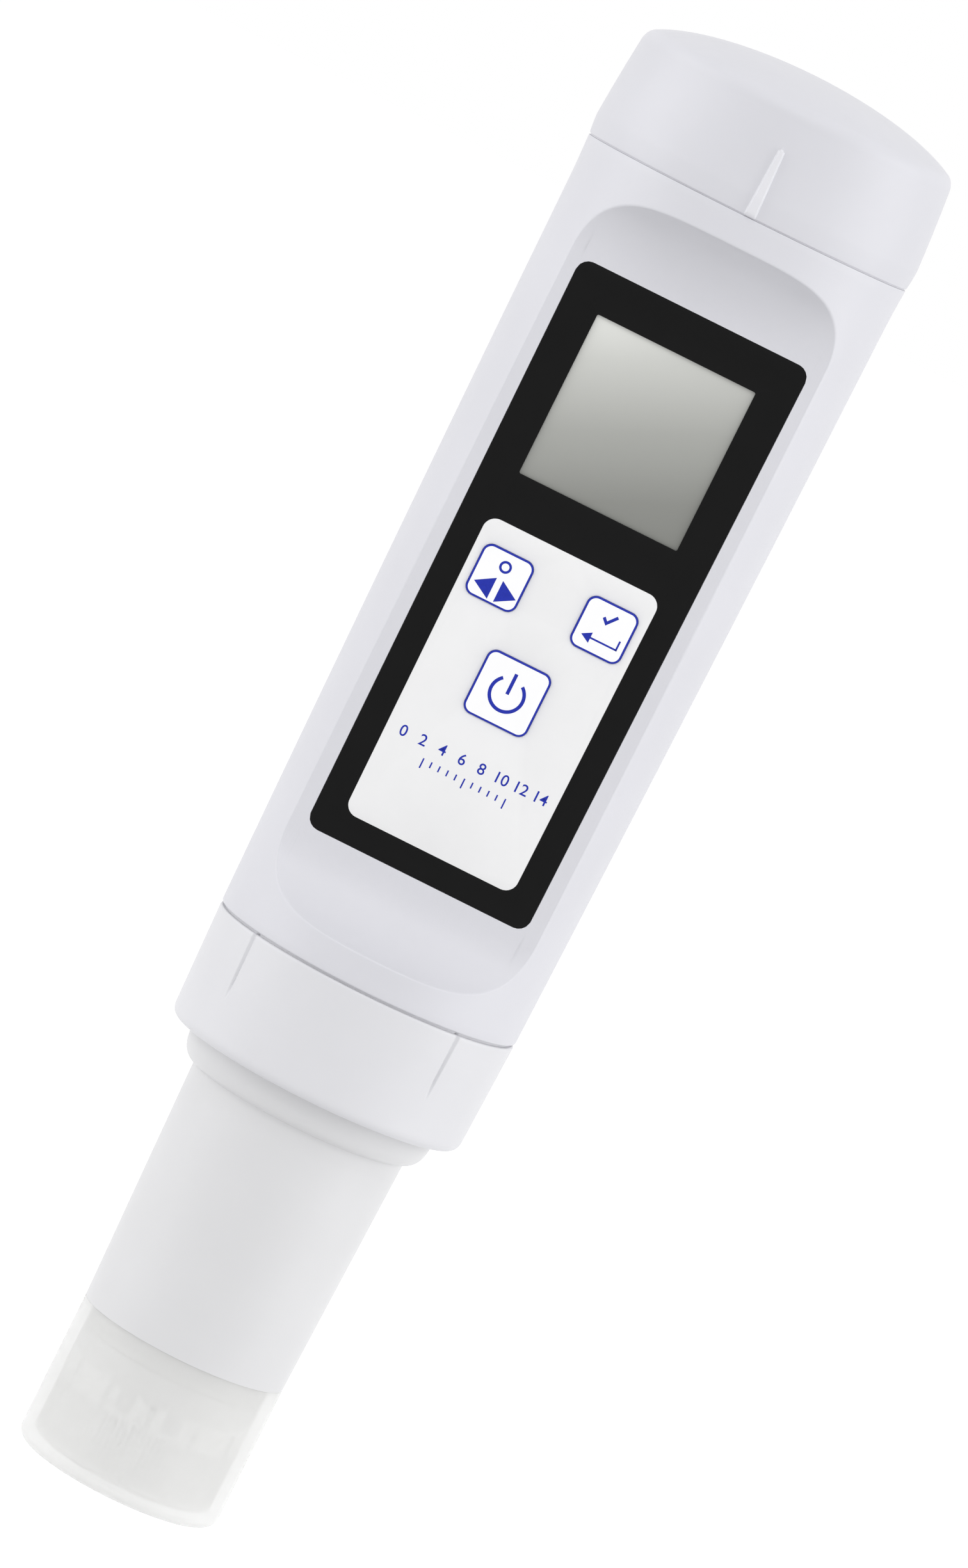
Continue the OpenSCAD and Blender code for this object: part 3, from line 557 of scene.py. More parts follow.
def taperedOutline(lowWidth, topWidth, foot, head, corner, steps=12):
    # Rounded outline that widens towards its head, from the middle of its foot round to the right
    lean = math.atan((topWidth - lowWidth) / 2 / (head - foot))
    turn = -math.degrees(lean)
    points = [(0, foot)]
    for z, start, end in ((foot + corner, -90, turn), (head - corner, turn, 90)):
        side = between(lowWidth, topWidth, (z - foot) / (head - foot)) / 2 - corner / math.cos(lean)
        points += arcPoints((side, z), corner, start, end, steps)
    points.append((0, head))
    return points + [(-x, z) for x, z in reversed(points[1:-1])]


def squareAngle(x, z, halfWidth, middle, halfHeight):
    return math.atan2((z - middle) / halfHeight, x / halfWidth)


def measure(points):
    # Half width of a closed outline, the middle of its height and half its height
    zs = [z for _, z in points]
    return max(x for x, _ in points), (min(zs) + max(zs)) / 2, (max(zs) - min(zs)) / 2


def matchOutline(edge, outline, pieces=40):
    # For each point of the scoop's edge, the point of the outline in the same direction from the middle
    inner, outer = measure(outline), measure(edge)
    table = []
    for a, b in zip(outline, outline[1:] + outline[:1]):
        for k in range(pieces):
            x, z = between(a[0], b[0], k / pieces), between(a[1], b[1], k / pieces)
            table.append((squareAngle(x, z, *inner), x, z))
    table.sort()
    angles = [row[0] for row in table]
    goals = [squareAngle(x, z, *outer) for x, z in edge]
    return [table[min(bisect_left(angles, goal), len(angles) - 1)][1:] for goal in goals]


def squareTargets(edge, grow, zLow, zTop):
    # Where each point of the edge lands on the border of the front part of the round wall, as (angle, z)
    spread = math.radians(scoopSettings["spread"])
    places = []
    for x, s in edge:
        p = scoopPoint(x, s, grow)
        places.append((math.atan2(p.x, -p.y), p.z))
    widest, middle, half = measure(places)
    targets = []
    for a, z in places:
        u, v = a / widest, (z - middle) / half
        scale = 1 / max(abs(u), abs(v))
        targets.append([round(u * scale, 9), round(v * scale, 9)])
    for cornerU in (-1, 1):
        for cornerV in (-1, 1):
            nearest = min(targets, key=lambda t: abs(t[0] - cornerU) + abs(t[1] - cornerV))
            nearest[0], nearest[1] = cornerU, cornerV
    border = [(u * spread, between(zLow, zTop, (v + 1) / 2)) for u, v in targets]
    sideHeights = sorted(z for (_, z), (u, _) in zip(border, targets) if u == 1)
    return places, border, sideHeights


def scoopedSkin(bm, inset, grow, zLow, zTop, outline, ringsOut, ringsIn, fillet=0):
    # One skin of the body: the round wall with the scoop let into it, open inside the outline
    count = scoopSettings["points"]
    edge = scoopEdge(inset, grow, count)
    inner = matchOutline(edge, outline)
    places, border, sideHeights = squareTargets(edge, grow, zLow, zTop)
    soft = scoopSettings["filletSteps"] if fillet else 0

    def outside(i, t):
        return wallPoint(*(between(a, b, t) for a, b in zip(places[i], border[i])), inset)

    def inside(i, t):
        return scoopPoint(*(between(a, b, t) for a, b in zip(edge[i], inner[i])), grow)

    def place(column, row):
        i = column % count
        reachOut = math.hypot((border[i][0] - places[i][0]) * bodyRadius(places[i][1]),
                              border[i][1] - places[i][1])
        reachIn = math.dist(inner[i], edge[i])
        startOut, startIn = fillet / reachOut, fillet / reachIn
        if row <= ringsOut:
            t = 1 - row / ringsOut
            return outside(i, startOut + (1 - startOut) * t * t)
        if row < ringsOut + soft:
            t = (row - ringsOut) / soft
            return Vector(bend(outside(i, startOut), outside(i, 0), inside(i, startIn), t))
        t = (row - ringsOut - soft) / ringsIn
        return inside(i, startIn + (1 - startIn) * t)

    gridSurface(bm, count, ringsOut + soft + ringsIn, place)
    spread = math.radians(scoopSettings["spread"])
    turn = math.tau - 2 * spread
    back = scoopSettings["backSteps"]
    gridSurface(bm, back, len(sideHeights) - 1,
                lambda column, row: wallPoint(spread + turn * column / back, sideHeights[row], inset))
    bmesh.ops.remove_doubles(bm, verts=bm.verts, dist=0.002)


def borderEdges(bm, test):
    return [e for e in bm.edges if e.is_boundary and all(test(v.co) for v in e.verts)]


def extrude(bm, edges):
    # Extrudes a border in place and returns the new vertices and the new border
    made = bmesh.ops.extrude_edge_only(bm, edges=edges)["geom"]
    return ([v for v in made if isinstance(v, bmesh.types.BMVert)],
            [e for e in made if isinstance(e, bmesh.types.BMEdge) and e.is_boundary])


def stepRing(bm, edges, radius, z):
    # Extrudes a round border to another radius and height
    verts, border = extrude(bm, edges)
    for v in verts:
        flat = Vector((v.co.x, v.co.y)).normalized()
        v.co = (flat.x * radius, flat.y * radius, z)
    return border


def facePocket(bm, depth):
    # Extrudes the open outline on the face straight into the body
    into = faceFrame.to_3x3() @ Vector((0, 1, 0))
    edges = borderEdges(bm, lambda p: abs((faceFrame.inverted() @ p).y) < 0.01 and abs(p.x) < 15)
    verts, border = extrude(bm, edges)
    bmesh.ops.translate(bm, verts=verts, vec=into * depth)
    return border


def outlineLoop(bm, outline, depth):
    return addLine(bm, [faceFrame @ Vector((x, depth, z)) for x, z in outline], True)[1]


keySettings = {
    "small": 6.2,
    "large": 7.8,
    "pitch": 13.0,
    "upperLift": 34.45,
    "lowerLift": 23.25,
    "corner": 1.1,
    "gap": 0.15,
    "proud": 0.15,
    "softEdge": 0.05,
    "flange": 0.7,
    "flangeFront": 0.1,  # behind the wall
    "flangeBack": 0.4,
}

windowSettings = {
    "width": 19.6,
    "height": 19.7,
    "lift": 45.9,
    "corner": 0.2,
    "lap": 0.75,  # seat round the opening for the clear window
    "seat": 1.2,
}


def keyPlaces():
    k = keySettings
    return {
        "left_key": (-k["pitch"] / 2, k["upperLift"], k["small"]),
        "right_key": (k["pitch"] / 2, k["upperLift"], k["small"]),
        "lower_key": (0, k["lowerLift"], k["large"]),
    }


def insetOutline(shape, inset):
    # Outline of a (low width, top width, foot, head, corner, middle) shape, drawn in by the inset
    lowWidth, topWidth, foot, head, corner, x = shape
    points = taperedOutline(lowWidth - 2 * inset, topWidth - 2 * inset, foot + inset, head - inset,
                            corner - inset)
    return [(px + x, z) for px, z in points]


def squareShape(width, height, corner, x, z):
    return (width, width, z - height / 2, z + height / 2, corner, x)


def keyShapes(grow):
    return [squareShape(size + 2 * grow, size + 2 * grow, keySettings["corner"] + grow, x, z)
            for x, z, size in keyPlaces().values()]


def windowShape():
    w = windowSettings
    return squareShape(w["width"], w["height"], w["corner"], 0, w["lift"] + w["height"] / 2)


def rimLoops(bm, shape, rim):
    # Stacks the outline of a shape at each (inset, depth) of its rim and skins the stack
    loops = [outlineLoop(bm, insetOutline(shape, inset), depth) for inset, depth in rim]
    for a, b in zip(loops, loops[1:]):
        bmesh.ops.bridge_loops(bm, edges=a + b)
    return loops


def facePlate(bm, shape, holes, front, back, soft):
    # A plate on the flat face, with holes and a soft front edge
    rim = [(soft, front), (0.3 * soft, front + 0.3 * soft), (0, front + soft), (0, back)]
    stacks = [rimLoops(bm, shape, rim)]
    stacks += [rimLoops(bm, hole, [(-inset, depth) for inset, depth in rim]) for hole in holes]
    for end in (0, -1):
        fillFlat(bm, [e for stack in stacks for e in stack[end]])


def slotLoop(bm, z):
    # Edge of the slot in the floor for the connector
    play = bodySettings["slotPlay"]
    left, front = low("connector_socket").x - play, low("connector_socket").y - play
    right, rear = high("connector_socket").x + play, high("connector_socket").y + play
    return addLine(bm, [(left, front, z), (right, front, z), (right, rear, z), (left, rear, z)], True)[1]


def addBoss(bm, x, z):
    # Screw boss behind the flat face: a tube let into the wall
    s = bodySettings
    hole, outer, root, end, edge = s["bossHole"], s["bossRadius"], s["bossRoot"], s["bossEnd"], s["bossEdge"]
    profile = [(hole, root), (outer, root), (outer, end - edge), (outer - edge, end), (hole + edge, end),
               (hole, end - edge), (hole, root)]
    verts, edges = addLine(bm, [faceFrame @ Vector((x + r, depth, z)) for r, depth in profile])
    turnRound(bm, verts + edges, math.tau, 32, True, axis=faceFrame.to_3x3() @ Vector((0, 1, 0)),
              centre=faceFrame @ Vector((x, 0, z)))


def buildBody():
    s, f, p = bodySettings, scoopSettings, panelSettings
    bm = bmesh.new()
    # Thread on the neck, a blunt ridge, and the screw bosses
    root = s["neckRadius"] - s["threadDepth"]
    crest = s["neckRadius"] - 0.05
    neckEnd = low("body_shell").z
    ridge = [(root - 0.2, -0.75), (root + 0.1, -0.55), (crest, -0.2), (crest, 0.2), (root + 0.1, 0.55),
             (root - 0.2, 0.75)]
    addThread(bm, ridge, neckEnd + s["threadStart"], s["threadLead"], s["threadTurns"])
    for x, z in s["bossPlaces"]:
        addBoss(bm, x, z)
    # Outer skin
    pocket = taperedOutline(p["lowWidth"] + 2 * p["gap"], p["topWidth"] + 2 * p["gap"], -p["gap"],
                            f["panelLength"] + p["gap"], p["corner"] + p["gap"])
    head, foot = s["headEdge"], s["footEdge"]
    scoopedSkin(bm, 0, 0, s["foot"] + foot, s["head"] - head, pocket, 8, 30, f["fillet"])
    # Floor of the film's pocket, with the window and key openings cut in it
    floorEdges = facePocket(bm, p["pocket"])
    lap, seat, wall = windowSettings["lap"], windowSettings["seat"], f["faceWall"]
    stacks = [rimLoops(bm, windowShape(), [(-lap, p["pocket"]), (-lap, seat), (0, seat), (0, wall)])]
    stacks += [rimLoops(bm, shape, [(0, p["pocket"]), (0, wall)]) for shape in keyShapes(keySettings["gap"])]
    fillFlat(bm, floorEdges + [e for stack in stacks for e in stack[0]])
    # Foot: round edge, underside, neck, bore and floor
    ring = borderEdges(bm, lambda c: abs(c.z - s["foot"] - foot) < 0.01)
    floorTop = s["foot"] + s["floorRise"]
    floorFoot = floorTop - s["floorThickness"]
    steps = softEdge(bodyRadius(s["foot"]), s["foot"], foot, 1)[1:]
    steps += [(root + 0.3, s["foot"]), (root, s["foot"] - 0.3), (root, neckEnd + 0.5), (root - 0.4, neckEnd),
              (s["neckBore"] + 0.3, neckEnd), (s["neckBore"], neckEnd + 0.3), (s["neckBore"], floorFoot)]
    for radius, z in steps:
        ring = stepRing(bm, ring, radius, z)
    slots = [slotLoop(bm, floorFoot), slotLoop(bm, floorTop)]
    bmesh.ops.bridge_loops(bm, edges=slots[0] + slots[1])
    fillFlat(bm, ring + slots[0])
    # Inner skin
    scoopedSkin(bm, s["inset"], wall, floorTop, s["head"] - head, pocket, 6, 16)
    ring = borderEdges(bm, lambda c: abs(c.z - floorTop) < 0.01 and math.hypot(c.x, c.y) > 15)
    fillFlat(bm, ring + slots[1])
    backs = [e for stack in stacks for e in stack[-1]]
    flat = faceFrame.inverted()
    inside = borderEdges(bm, lambda c: abs((flat @ c).y - wall) < 0.01 and abs(c.x) < 15)
    fillFlat(bm, [e for e in inside if e not in backs] + backs)
    # Mouth: soft outer and inner edge with a flat rim between them
    mouth = bodyRadius(s["head"])
    rims = borderEdges(bm, lambda c: abs(c.z - s["head"] + head) < 0.01 and math.hypot(c.x, c.y) > 17)
    outer = [e for e in rims if all(math.hypot(v.co.x, v.co.y) > mouth - 0.5 for v in e.verts)]
    inner = [e for e in rims if e not in outer]
    for inset, z in ((0.3 * head, s["head"] - 0.3 * head), (head, s["head"])):
        outer = stepRing(bm, outer, mouth - inset, z)
        inner = stepRing(bm, inner, mouth - s["inset"] + inset, z)
    bmesh.ops.bridge_loops(bm, edges=outer + inner)
    closeMesh(bm)
    makePiece("bodyShell", bm, ["bodyPlastic"], "shell", ["body_shell"])


buildBody()


# Battery cap

capSettings = {
    "foot": bodySettings["head"] + 0.15,
    "crown": high("battery_cap").z,
    "swell": 0.2,
    "swellLift": 2.5,
    "draft": 0.55,
    "crownRise": 3.9,  # of the crown's top above its rim
    "crownSpare": 1.75,
    "wall": 2,
    "softEdge": 0.13,
    "ledgeDepth": 0.17,  # how far inside the seam the cap's register starts
    "ledgeGap": 0.02,
    "spigotLength": 5.7,
    "spigotWall": 1.6,
    "spigotPlay": 0.1,
    "glandDrop": 0.9,
    "glandHalf": 0.6,
    "glandDepth": 0.96,
    "notchGap": 0.3,
    "bossRadius": 3.2,
    "bossDrop": 2.6,
    "screwHole": 0.8,
    "screwDepth": 6,
    "ribLength": 8.1,
    "ribPlace": 0.42,  # to the right of the middle
    "ribWidth": 1.26,  # at the seam; half of it at the upper end
    "ribRise": 0.42,
    "ribEdge": 0.24,
    "ribFade": 0.4,  # the rise fades in over this height above the seam
    "ribSector": 7.8,  # degrees of finer mesh round the rib
}


def crownSize(rim):
    # Half width and height of the ellipse that the crown is the top of
    wide = rim + capSettings["crownSpare"]
    return wide, capSettings["crownRise"] / (1 - math.sqrt(1 - (rim / wide) ** 2))


def capOutline():
    # Half outline of the cap's outside, from its crown down to its foot
    c = capSettings
    seam = bodyRadius(bodySettings["head"])
    wide = (seam + c["swell"], bodySettings["head"] + c["swellLift"])
    rim = seam - c["draft"]
    crownWide, crownHigh = crownSize(rim)

    def crownZ(r):
        return c["crown"] - crownHigh * (1 - math.sqrt(1 - (r / crownWide) ** 2))

    side = (rim + 0.03, c["crown"] - c["crownRise"] - 1.4)
    corner = (rim - 0.02, c["crown"] - c["crownRise"] + 0.1)
    top = (rim - 1, crownZ(rim - 1))
    points = [((rim - 1) * i / 28, crownZ((rim - 1) * i / 28)) for i in range(28)]
    points += sweep(top, corner, side, 10)
    belly = ((wide[0] + side[0]) / 2 + 0.1, (wide[1] + side[1]) / 2)
    points += sweep(side, belly, wide, 46)
    points += sweep(wide, (wide[0] - 0.02, wide[1] - 1), (seam, c["foot"]), 12)
    edge = c["softEdge"]
    return [p for p in points if p[1] > c["foot"] + edge] + softEdge(seam, c["foot"], edge, 1)


def ribCover(across, up):
    # How much of the rib's rise a point of the cap's side gets
    c = capSettings
    end = c["ribWidth"] / 4
    straight = c["ribLength"] - end
    if up < straight:
        inside = c["ribWidth"] / 2 - end * up / straight - abs(across)
    else:
        inside = end - math.hypot(across, up - straight)
    t = min(1, max(0, inside / c["ribEdge"] + 0.5))
    return ease(t) * min(1, 0.3 + up / c["ribFade"])


def notchHeight(y):
    # Height at which the spigot has to end above the scoop's sweep, at this distance from the axis
    f = scoopSettings
    grow = f["faceWall"] + capSettings["notchGap"]
    start = f["panelLength"] + f["bareHead"]
    if scoopPoint(0, start, grow).y < y:
        return 0
    far = start + f["headRadius"] * math.pi / 2
    return scoopPoint(0, lastInside(lambda s: scoopPoint(0, s, grow).y > y, start, far, 30), grow).z


def buildCap():
    c = capSettings
    head = bodySettings["head"]
    seam = bodyRadius(head)
    spigot = seam - bodySettings["inset"] - c["spigotPlay"]
    spigotIn = spigot - c["spigotWall"]
    end = head - c["spigotLength"]
    gland = head - c["glandDrop"]
    inner = seam - c["draft"] - c["wall"]
    crownWide, crownHigh = crownSize(seam - c["draft"])

    def domeZ(r):
        bulge = math.sqrt(1 - (r / (crownWide - c["wall"])) ** 2)
        return c["crown"] - crownHigh + (crownHigh - c["wall"]) * bulge

    ledge, register = head + c["ledgeGap"], seam - c["ledgeDepth"]
    glandTop, pivot, glandRadius = gland + c["glandHalf"], gland - c["glandHalf"], spigot - c["glandDepth"]
    profile = capOutline()
    profile += [(register, c["foot"]), (register, ledge), (spigot, ledge), (spigot, glandTop),
                (glandRadius, glandTop), (glandRadius, pivot), (spigot, pivot), (spigot, end + 0.3),
                (spigot - 0.3, end), (spigotIn, end), (spigotIn, pivot), (spigotIn, c["foot"] + 2),
                (inner, c["foot"] + 2)]
    boss, hole, bossEnd = c["bossRadius"], c["screwHole"], head - c["bossDrop"]
    radii = [between(inner, boss, i / 14) for i in range(15)]
    profile += [(r, domeZ(r)) for r in radii]
    profile += [(boss, bossEnd + 0.2), (boss - 0.2, bossEnd), (hole, bossEnd),
                (hole, bossEnd + c["screwDepth"]), (0, bossEnd + c["screwDepth"])]
    bm = bmesh.new()
    ribTurn = math.degrees(c["ribPlace"] / seam)
    sectors = [(c["ribSector"], 54), (360 - c["ribSector"], 176)]
    spinSectors(bm, profile, ribTurn - c["ribSector"] / 2, sectors)
    closeMesh(bm)
    raised = set()
    for v in bm.verts:
        radius = math.hypot(v.co.x, v.co.y)
        if v.co.z < pivot - 0.01 and spigotIn - 0.1 < radius < spigot + 0.1:
            limit = max(end, notchHeight(v.co.y))
            v.co.z = pivot - (pivot - v.co.z) * (pivot - limit) / (pivot - end)
        across = v.co.x - c["ribPlace"]
        if v.co.z > c["foot"] - 0.001 and radius > inner + 1 and v.co.y < 0 and abs(across) < 1.2:
            cover = ribCover(across, max(0, v.co.z - c["foot"]))
            if cover > 0:
                v.co = moveOut(v.co, c["ribRise"] * cover)
                raised.add(v)
    # faces of the raised rib take the lighter finish, a painted highlight
    for face in bm.faces:
        if all(v in raised for v in face.verts):
            face.material_index = 1
    makePiece("batteryCap", bm, ["capPlastic", "pointerPlastic"], "cap", ["battery_cap"])


buildCap()


# Locking collar

collarSettings = {
    "foot": low("locking_collar").z,
    "head": high("locking_collar").z,
    "draft": 0.45,
    "corner": 1.3,
    "softEdge": 0.26,
    "ledgeDepth": 0.5,
    "ledgeGap": 0.03,
    "seamStep": 0.03,
    "neckBore": 16.08,
    "lipBore": 15.28,
    "lip": 1.8,
    "grooveLength": 8.2,
    "grooveTop": 0.42,  # half width at the seam
    "grooveLow": 0.24,
    "grooveDepth": 0.3,
    "grooveFade": 3.5,
    "grooves": (-45.7, 41.3, 134.3, 221.3),  # in degrees off the front
    "grooveSector": 4,
}


def buildCollar():
    c = collarSettings
    topRadius = bodyRadius(bodySettings["foot"]) - c["seamStep"]
    lowRadius = bodySettings["lowRadius"] - c["draft"]
    shank = (lowRadius + 0.03, c["foot"] + c["corner"])
    edge = c["softEdge"]
    profile = [(c["lipBore"] + 0.2, c["foot"])]
    under = (lowRadius - c["corner"], c["foot"])
    profile += sweep(under, (lowRadius, c["foot"]), shank, 10)
    sideTop = (topRadius, c["head"] - edge)
    profile += [tuple(between(a, b, i / 48) for a, b in zip(shank, sideTop)) for i in range(48)]
    profile += softEdge(topRadius, c["head"], edge, -1)
    ledge = bodySettings["foot"] - c["ledgeGap"]
    register, bore, lipTop = topRadius - c["ledgeDepth"], c["neckBore"], c["foot"] + c["lip"]
    profile += [(register, c["head"]), (register, ledge), (bore + 0.4, ledge), (bore, ledge - 0.4),
                (bore, lipTop), (c["lipBore"], lipTop), (c["lipBore"], c["foot"] + 0.2), profile[0]]
    bm = bmesh.new()
    sector = c["grooveSector"]
    sectors = []
    for groove, following in zip(c["grooves"], c["grooves"][1:] + (c["grooves"][0] + 360,)):
        sectors += [(sector, 32), (following - groove - sector, 42)]
    spinSectors(bm, profile, c["grooves"][0] - sector / 2, sectors)
    closeMesh(bm)
    for v in bm.verts:
        radius = math.hypot(v.co.x, v.co.y)
        down = (c["head"] - v.co.z) / c["grooveLength"]
        if radius > register - 0.01 and -0.01 < down < 1:
            off = min(abs((frontAngle(v.co) - groove + 180) % 360 - 180) for groove in c["grooves"])
            half = between(c["grooveTop"], c["grooveLow"], down)
            t = max(0, 1 - math.radians(off) * radius / half)
            depth = c["grooveDepth"] * min(1, c["grooveFade"] * (1 - down))
            v.co = moveOut(v.co, -depth * ease(t))
    makePiece("lockingCollar", bm, ["collarPlastic"], "collar", ["locking_collar"])


buildCollar()


# Sensor module

moduleSettings = {
    "nose": low("sensor_module").z,
    "head": high("sensor_module").z,
    "rim": high("storage_cup").z + 0.006,
    "seamEdge": 0.012,
    "shoulder": low("locking_collar").z - 3.9,
    "noseRadius": 10.95,
    "chamberRadius": 8.0,
    "ledge": 24.1,
    "boreRadius": 10.8,
    "barrelLow": 12.45,
    "barrelTop": 13.25,
    "shoulderRadius": 15.2,
    "flange": (15.9, 53.6, 1.8),  # radius, height of its underside, thickness
    "plugRadius": 14.2,
    "plugGland": (12.44, 58.9, 1.0),  # radius, middle, half height
    "noseGland": (9.89, 15.7, 0.7),
}


def buildModule():
    m = moduleSettings
    nose, rim, shoulder, seam = m["nose"], m["rim"], m["shoulder"], m["seamEdge"]
    noseRadius, chamber, bore, plug = m["noseRadius"], m["chamberRadius"], m["boreRadius"], m["plugRadius"]
    flange, flangeFoot, flangeThickness = m["flange"]
    flangeTop = flangeFoot + flangeThickness

    def gland(settings):
        # Corners of a ring groove of (radius, middle, half height), from its foot up
        radius, middle, half = settings
        return middle - half, radius, middle + half

    low1, noseGroove, high1 = gland(m["noseGland"])
    low2, plugGroove, high2 = gland(m["plugGland"])
    profile = [(chamber + 0.3, nose)]
    profile += arcPoints((noseRadius - 0.8, nose + 0.8), 0.8, -90, 0, 6)
    profile += [(noseRadius, low1), (noseGroove, low1), (noseGroove, high1), (noseRadius, high1),
                (noseRadius, rim), (m["barrelLow"] - seam, rim), (m["barrelLow"], rim + seam)]
    profile += [(between(m["barrelLow"], m["barrelTop"], i / 12), between(rim + seam, shoulder, i / 12))
                for i in range(1, 13)]
    start = (m["barrelTop"] + 0.02, shoulder + 0.06)
    end = (m["shoulderRadius"], low("locking_collar").z - 0.6)
    profile += [bend(start, (m["shoulderRadius"], shoulder + 0.42), end, i / 16) for i in range(17)]
    head, ledge = m["head"], m["ledge"]
    profile += [(m["shoulderRadius"], flangeFoot), (flange, flangeFoot), (flange, flangeTop),
                (plug, flangeTop), (plug, low2), (plugGroove, low2), (plugGroove, high2), (plug, high2),
                (plug, head - 0.6), (plug - 0.6, head), (bore + 0.2, head), (bore, head - 0.2),
                (bore, ledge), (chamber, ledge), (chamber, nose + 0.3), profile[0]]
    bm = bmesh.new()
    spinProfile(bm, profile, 192)
    makePiece("sensorModule", bm, ["modulePlastic"], "module", ["sensor_module"])


buildModule()


# Storage cup

cupSettings = {
    "rim": high("storage_cup").z,
    "outer": 12.45,
    "inner": 11.15,
    "footCorner": 1.4,
    "floor": 1.4,
    "ribs": 12,
    "ribDepth": 0.6,
    "ribHalf": 0.32,
    "ribReach": 0.45,  # where the slope of the rib's sides would end
    "ribSlope": 0.15,
    "ribTop": 11.4,
    "ribTurn": 1.8,  # of the front rib, in degrees off the front
    "ripples": 96,  # fine upright serrations between the ribs
    "rippleDepth": 0.3,
    "rippleFoot": 2.6,
    "rippleTop": 8.4,
    "columns": 480,
    "wallRows": 18,
}


def buildCup():
    c = cupSettings
    profile = [(0, 0), (6, 0)]
    profile += arcPoints((c["outer"] - c["footCorner"], c["footCorner"]), c["footCorner"], -90, 0, 10)
    seam = moduleSettings["seamEdge"]
    profile += [(c["outer"], between(c["footCorner"], c["rim"] - seam, i / 6)) for i in range(1, 7)]
    profile += [(c["outer"] - seam, c["rim"]), (c["inner"] + 0.05, c["rim"])]
    wallTop, wallFoot = c["rim"] - 0.05, c["floor"] + 1
    profile += [(c["inner"], between(wallTop, c["ribTop"] + 0.3, i / 4)) for i in range(5)]
    profile += [(c["inner"], c["ribTop"])]
    rows = c["wallRows"]
    profile += [(c["inner"], between(c["ribTop"] - 0.3, wallFoot, i / rows)) for i in range(rows + 1)]
    profile += [(c["inner"] - 1 + math.cos(a), c["floor"] + 1 - math.sin(a))
                for a in (0.4, 0.8, 1.2, math.pi / 2)]
    profile += [(6, c["floor"]), (0, c["floor"])]
    bm = bmesh.new()
    spinProfile(bm, profile, c["columns"])
    period = 360 / c["ribs"]
    for v in bm.verts:
        radius = math.hypot(v.co.x, v.co.y)
        if abs(radius - c["inner"]) < 0.01 and v.co.z < c["ribTop"] + 0.001:
            off = (frontAngle(v.co) - c["ribTurn"] + period / 2) % period - period / 2
            across = abs(math.radians(off)) * radius
            draw = 0
            if across < c["ribHalf"]:
                draw = c["ribDepth"] * min(1, (c["ribReach"] - across) / c["ribSlope"])
                if v.co.z > c["ribTop"] - 0.01:
                    draw *= 0.5
            elif c["rippleFoot"] < v.co.z < c["rippleTop"]:
                draw = c["rippleDepth"] * (1 + math.cos(math.radians(frontAngle(v.co)) * c["ripples"]))
            v.co = moveOut(v.co, -draw)
    makePiece("storageCup", bm, ["cupPlastic"], "cup", ["storage_cup"])


buildCup()


# Panel film, key sheet and keys

sheetSettings = {
    "lowWidth": 21,
    "topWidth": 21.5,
    "lift": 3.2,
    "length": 37.1,
    "softEdge": 0.04,
    "gap": 0.03,
    "keyGap": 0.03,
    "outline": 0.17,  # width of the printed line round each key
}


def sheetShape(grow):
    h = sheetSettings
    foot, head = h["lift"] - grow, h["lift"] + h["length"] + grow
    corner = panelSettings["corner"] + grow
    return (h["lowWidth"] + 2 * grow, h["topWidth"] + 2 * grow, foot, head, corner, 0)


def buildFilms():
    p, h = panelSettings, sheetSettings
    film = (p["lowWidth"], p["topWidth"], 0, scoopSettings["panelLength"], p["corner"], 0)
    bm = bmesh.new()
    facePlate(bm, film, [windowShape(), sheetShape(h["gap"])], 0, p["film"], p["softEdge"])
    closeMesh(bm)
    makePiece("panelFilm", bm, ["filmBlack"], "shell", ["panel_film"])
    bm = bmesh.new()
    facePlate(bm, sheetShape(0), keyShapes(h["keyGap"]), 0, p["film"], h["softEdge"])
    closeMesh(bm)
    makePiece("keySheet", bm, ["sheetGrey"], "shell", ["key_sheet"])


def buildKey(node, x, z, size):
    # A pad with a printed line round it, and a flange behind the wall
    k, wall = keySettings, scoopSettings["faceWall"]
    shape = squareShape(size, size, k["corner"], x, z)
    edge, top, flange = k["softEdge"], -k["proud"], -k["flange"]
    front, back = wall + k["flangeFront"], wall + k["flangeBack"]
    bm = bmesh.new()
    rim = [(edge + sheetSettings["outline"], top), (edge, top), (0.3 * edge, top + 0.3 * edge),
           (0, top + edge), (0, edge), (0, front), (flange, front), (flange, back)]
    loops = rimLoops(bm, shape, rim)
    for face in bm.faces:
        if all((faceFrame.inverted() @ v.co).y < edge + 0.01 for v in face.verts):
            face.material_index = 1
    for end in (0, -1):
        fillFlat(bm, loops[end])
    closeMesh(bm)
    name = node.split("_")[0] + "Key"
    makePiece(name, bm, ["keyWhite", "inkBlue"], node + "_body", [node])


printSettings = {
    "front": 0.008,  # of the ink above the face, and of its back inside it
    "back": 0.01,
    "stroke": 0.21,
    "heavyStroke": 0.4,
    "figures": ["0", "2", "4", "6", "8", "10", "12", "14"],
    "figureHeight": 1.3,
    "figureShare": 0.7,  # height of a figure in the font's size
    "figureRow": 13.72,  # foot of the row above the panel's foot
    "figureSpan": 17.0,
    "tickRow": 11.35,
    "tickSpan": 10.2,
    "ticks": 11,
    "tickHeight": 1.2,
}


def printMarks(name, outlines, depth, body):
    # Ink laid on the face as thin plates
    bm = bmesh.new()
    for outline in outlines:
        front = outlineLoop(bm, outline, depth - printSettings["front"])
        back = outlineLoop(bm, outline, depth + printSettings["back"])
        bmesh.ops.bridge_loops(bm, edges=front + back)
        fillFlat(bm, front)
        fillFlat(bm, back)
    closeMesh(bm, 0.0005)
    makePiece(name, bm, ["inkBlue"], body)


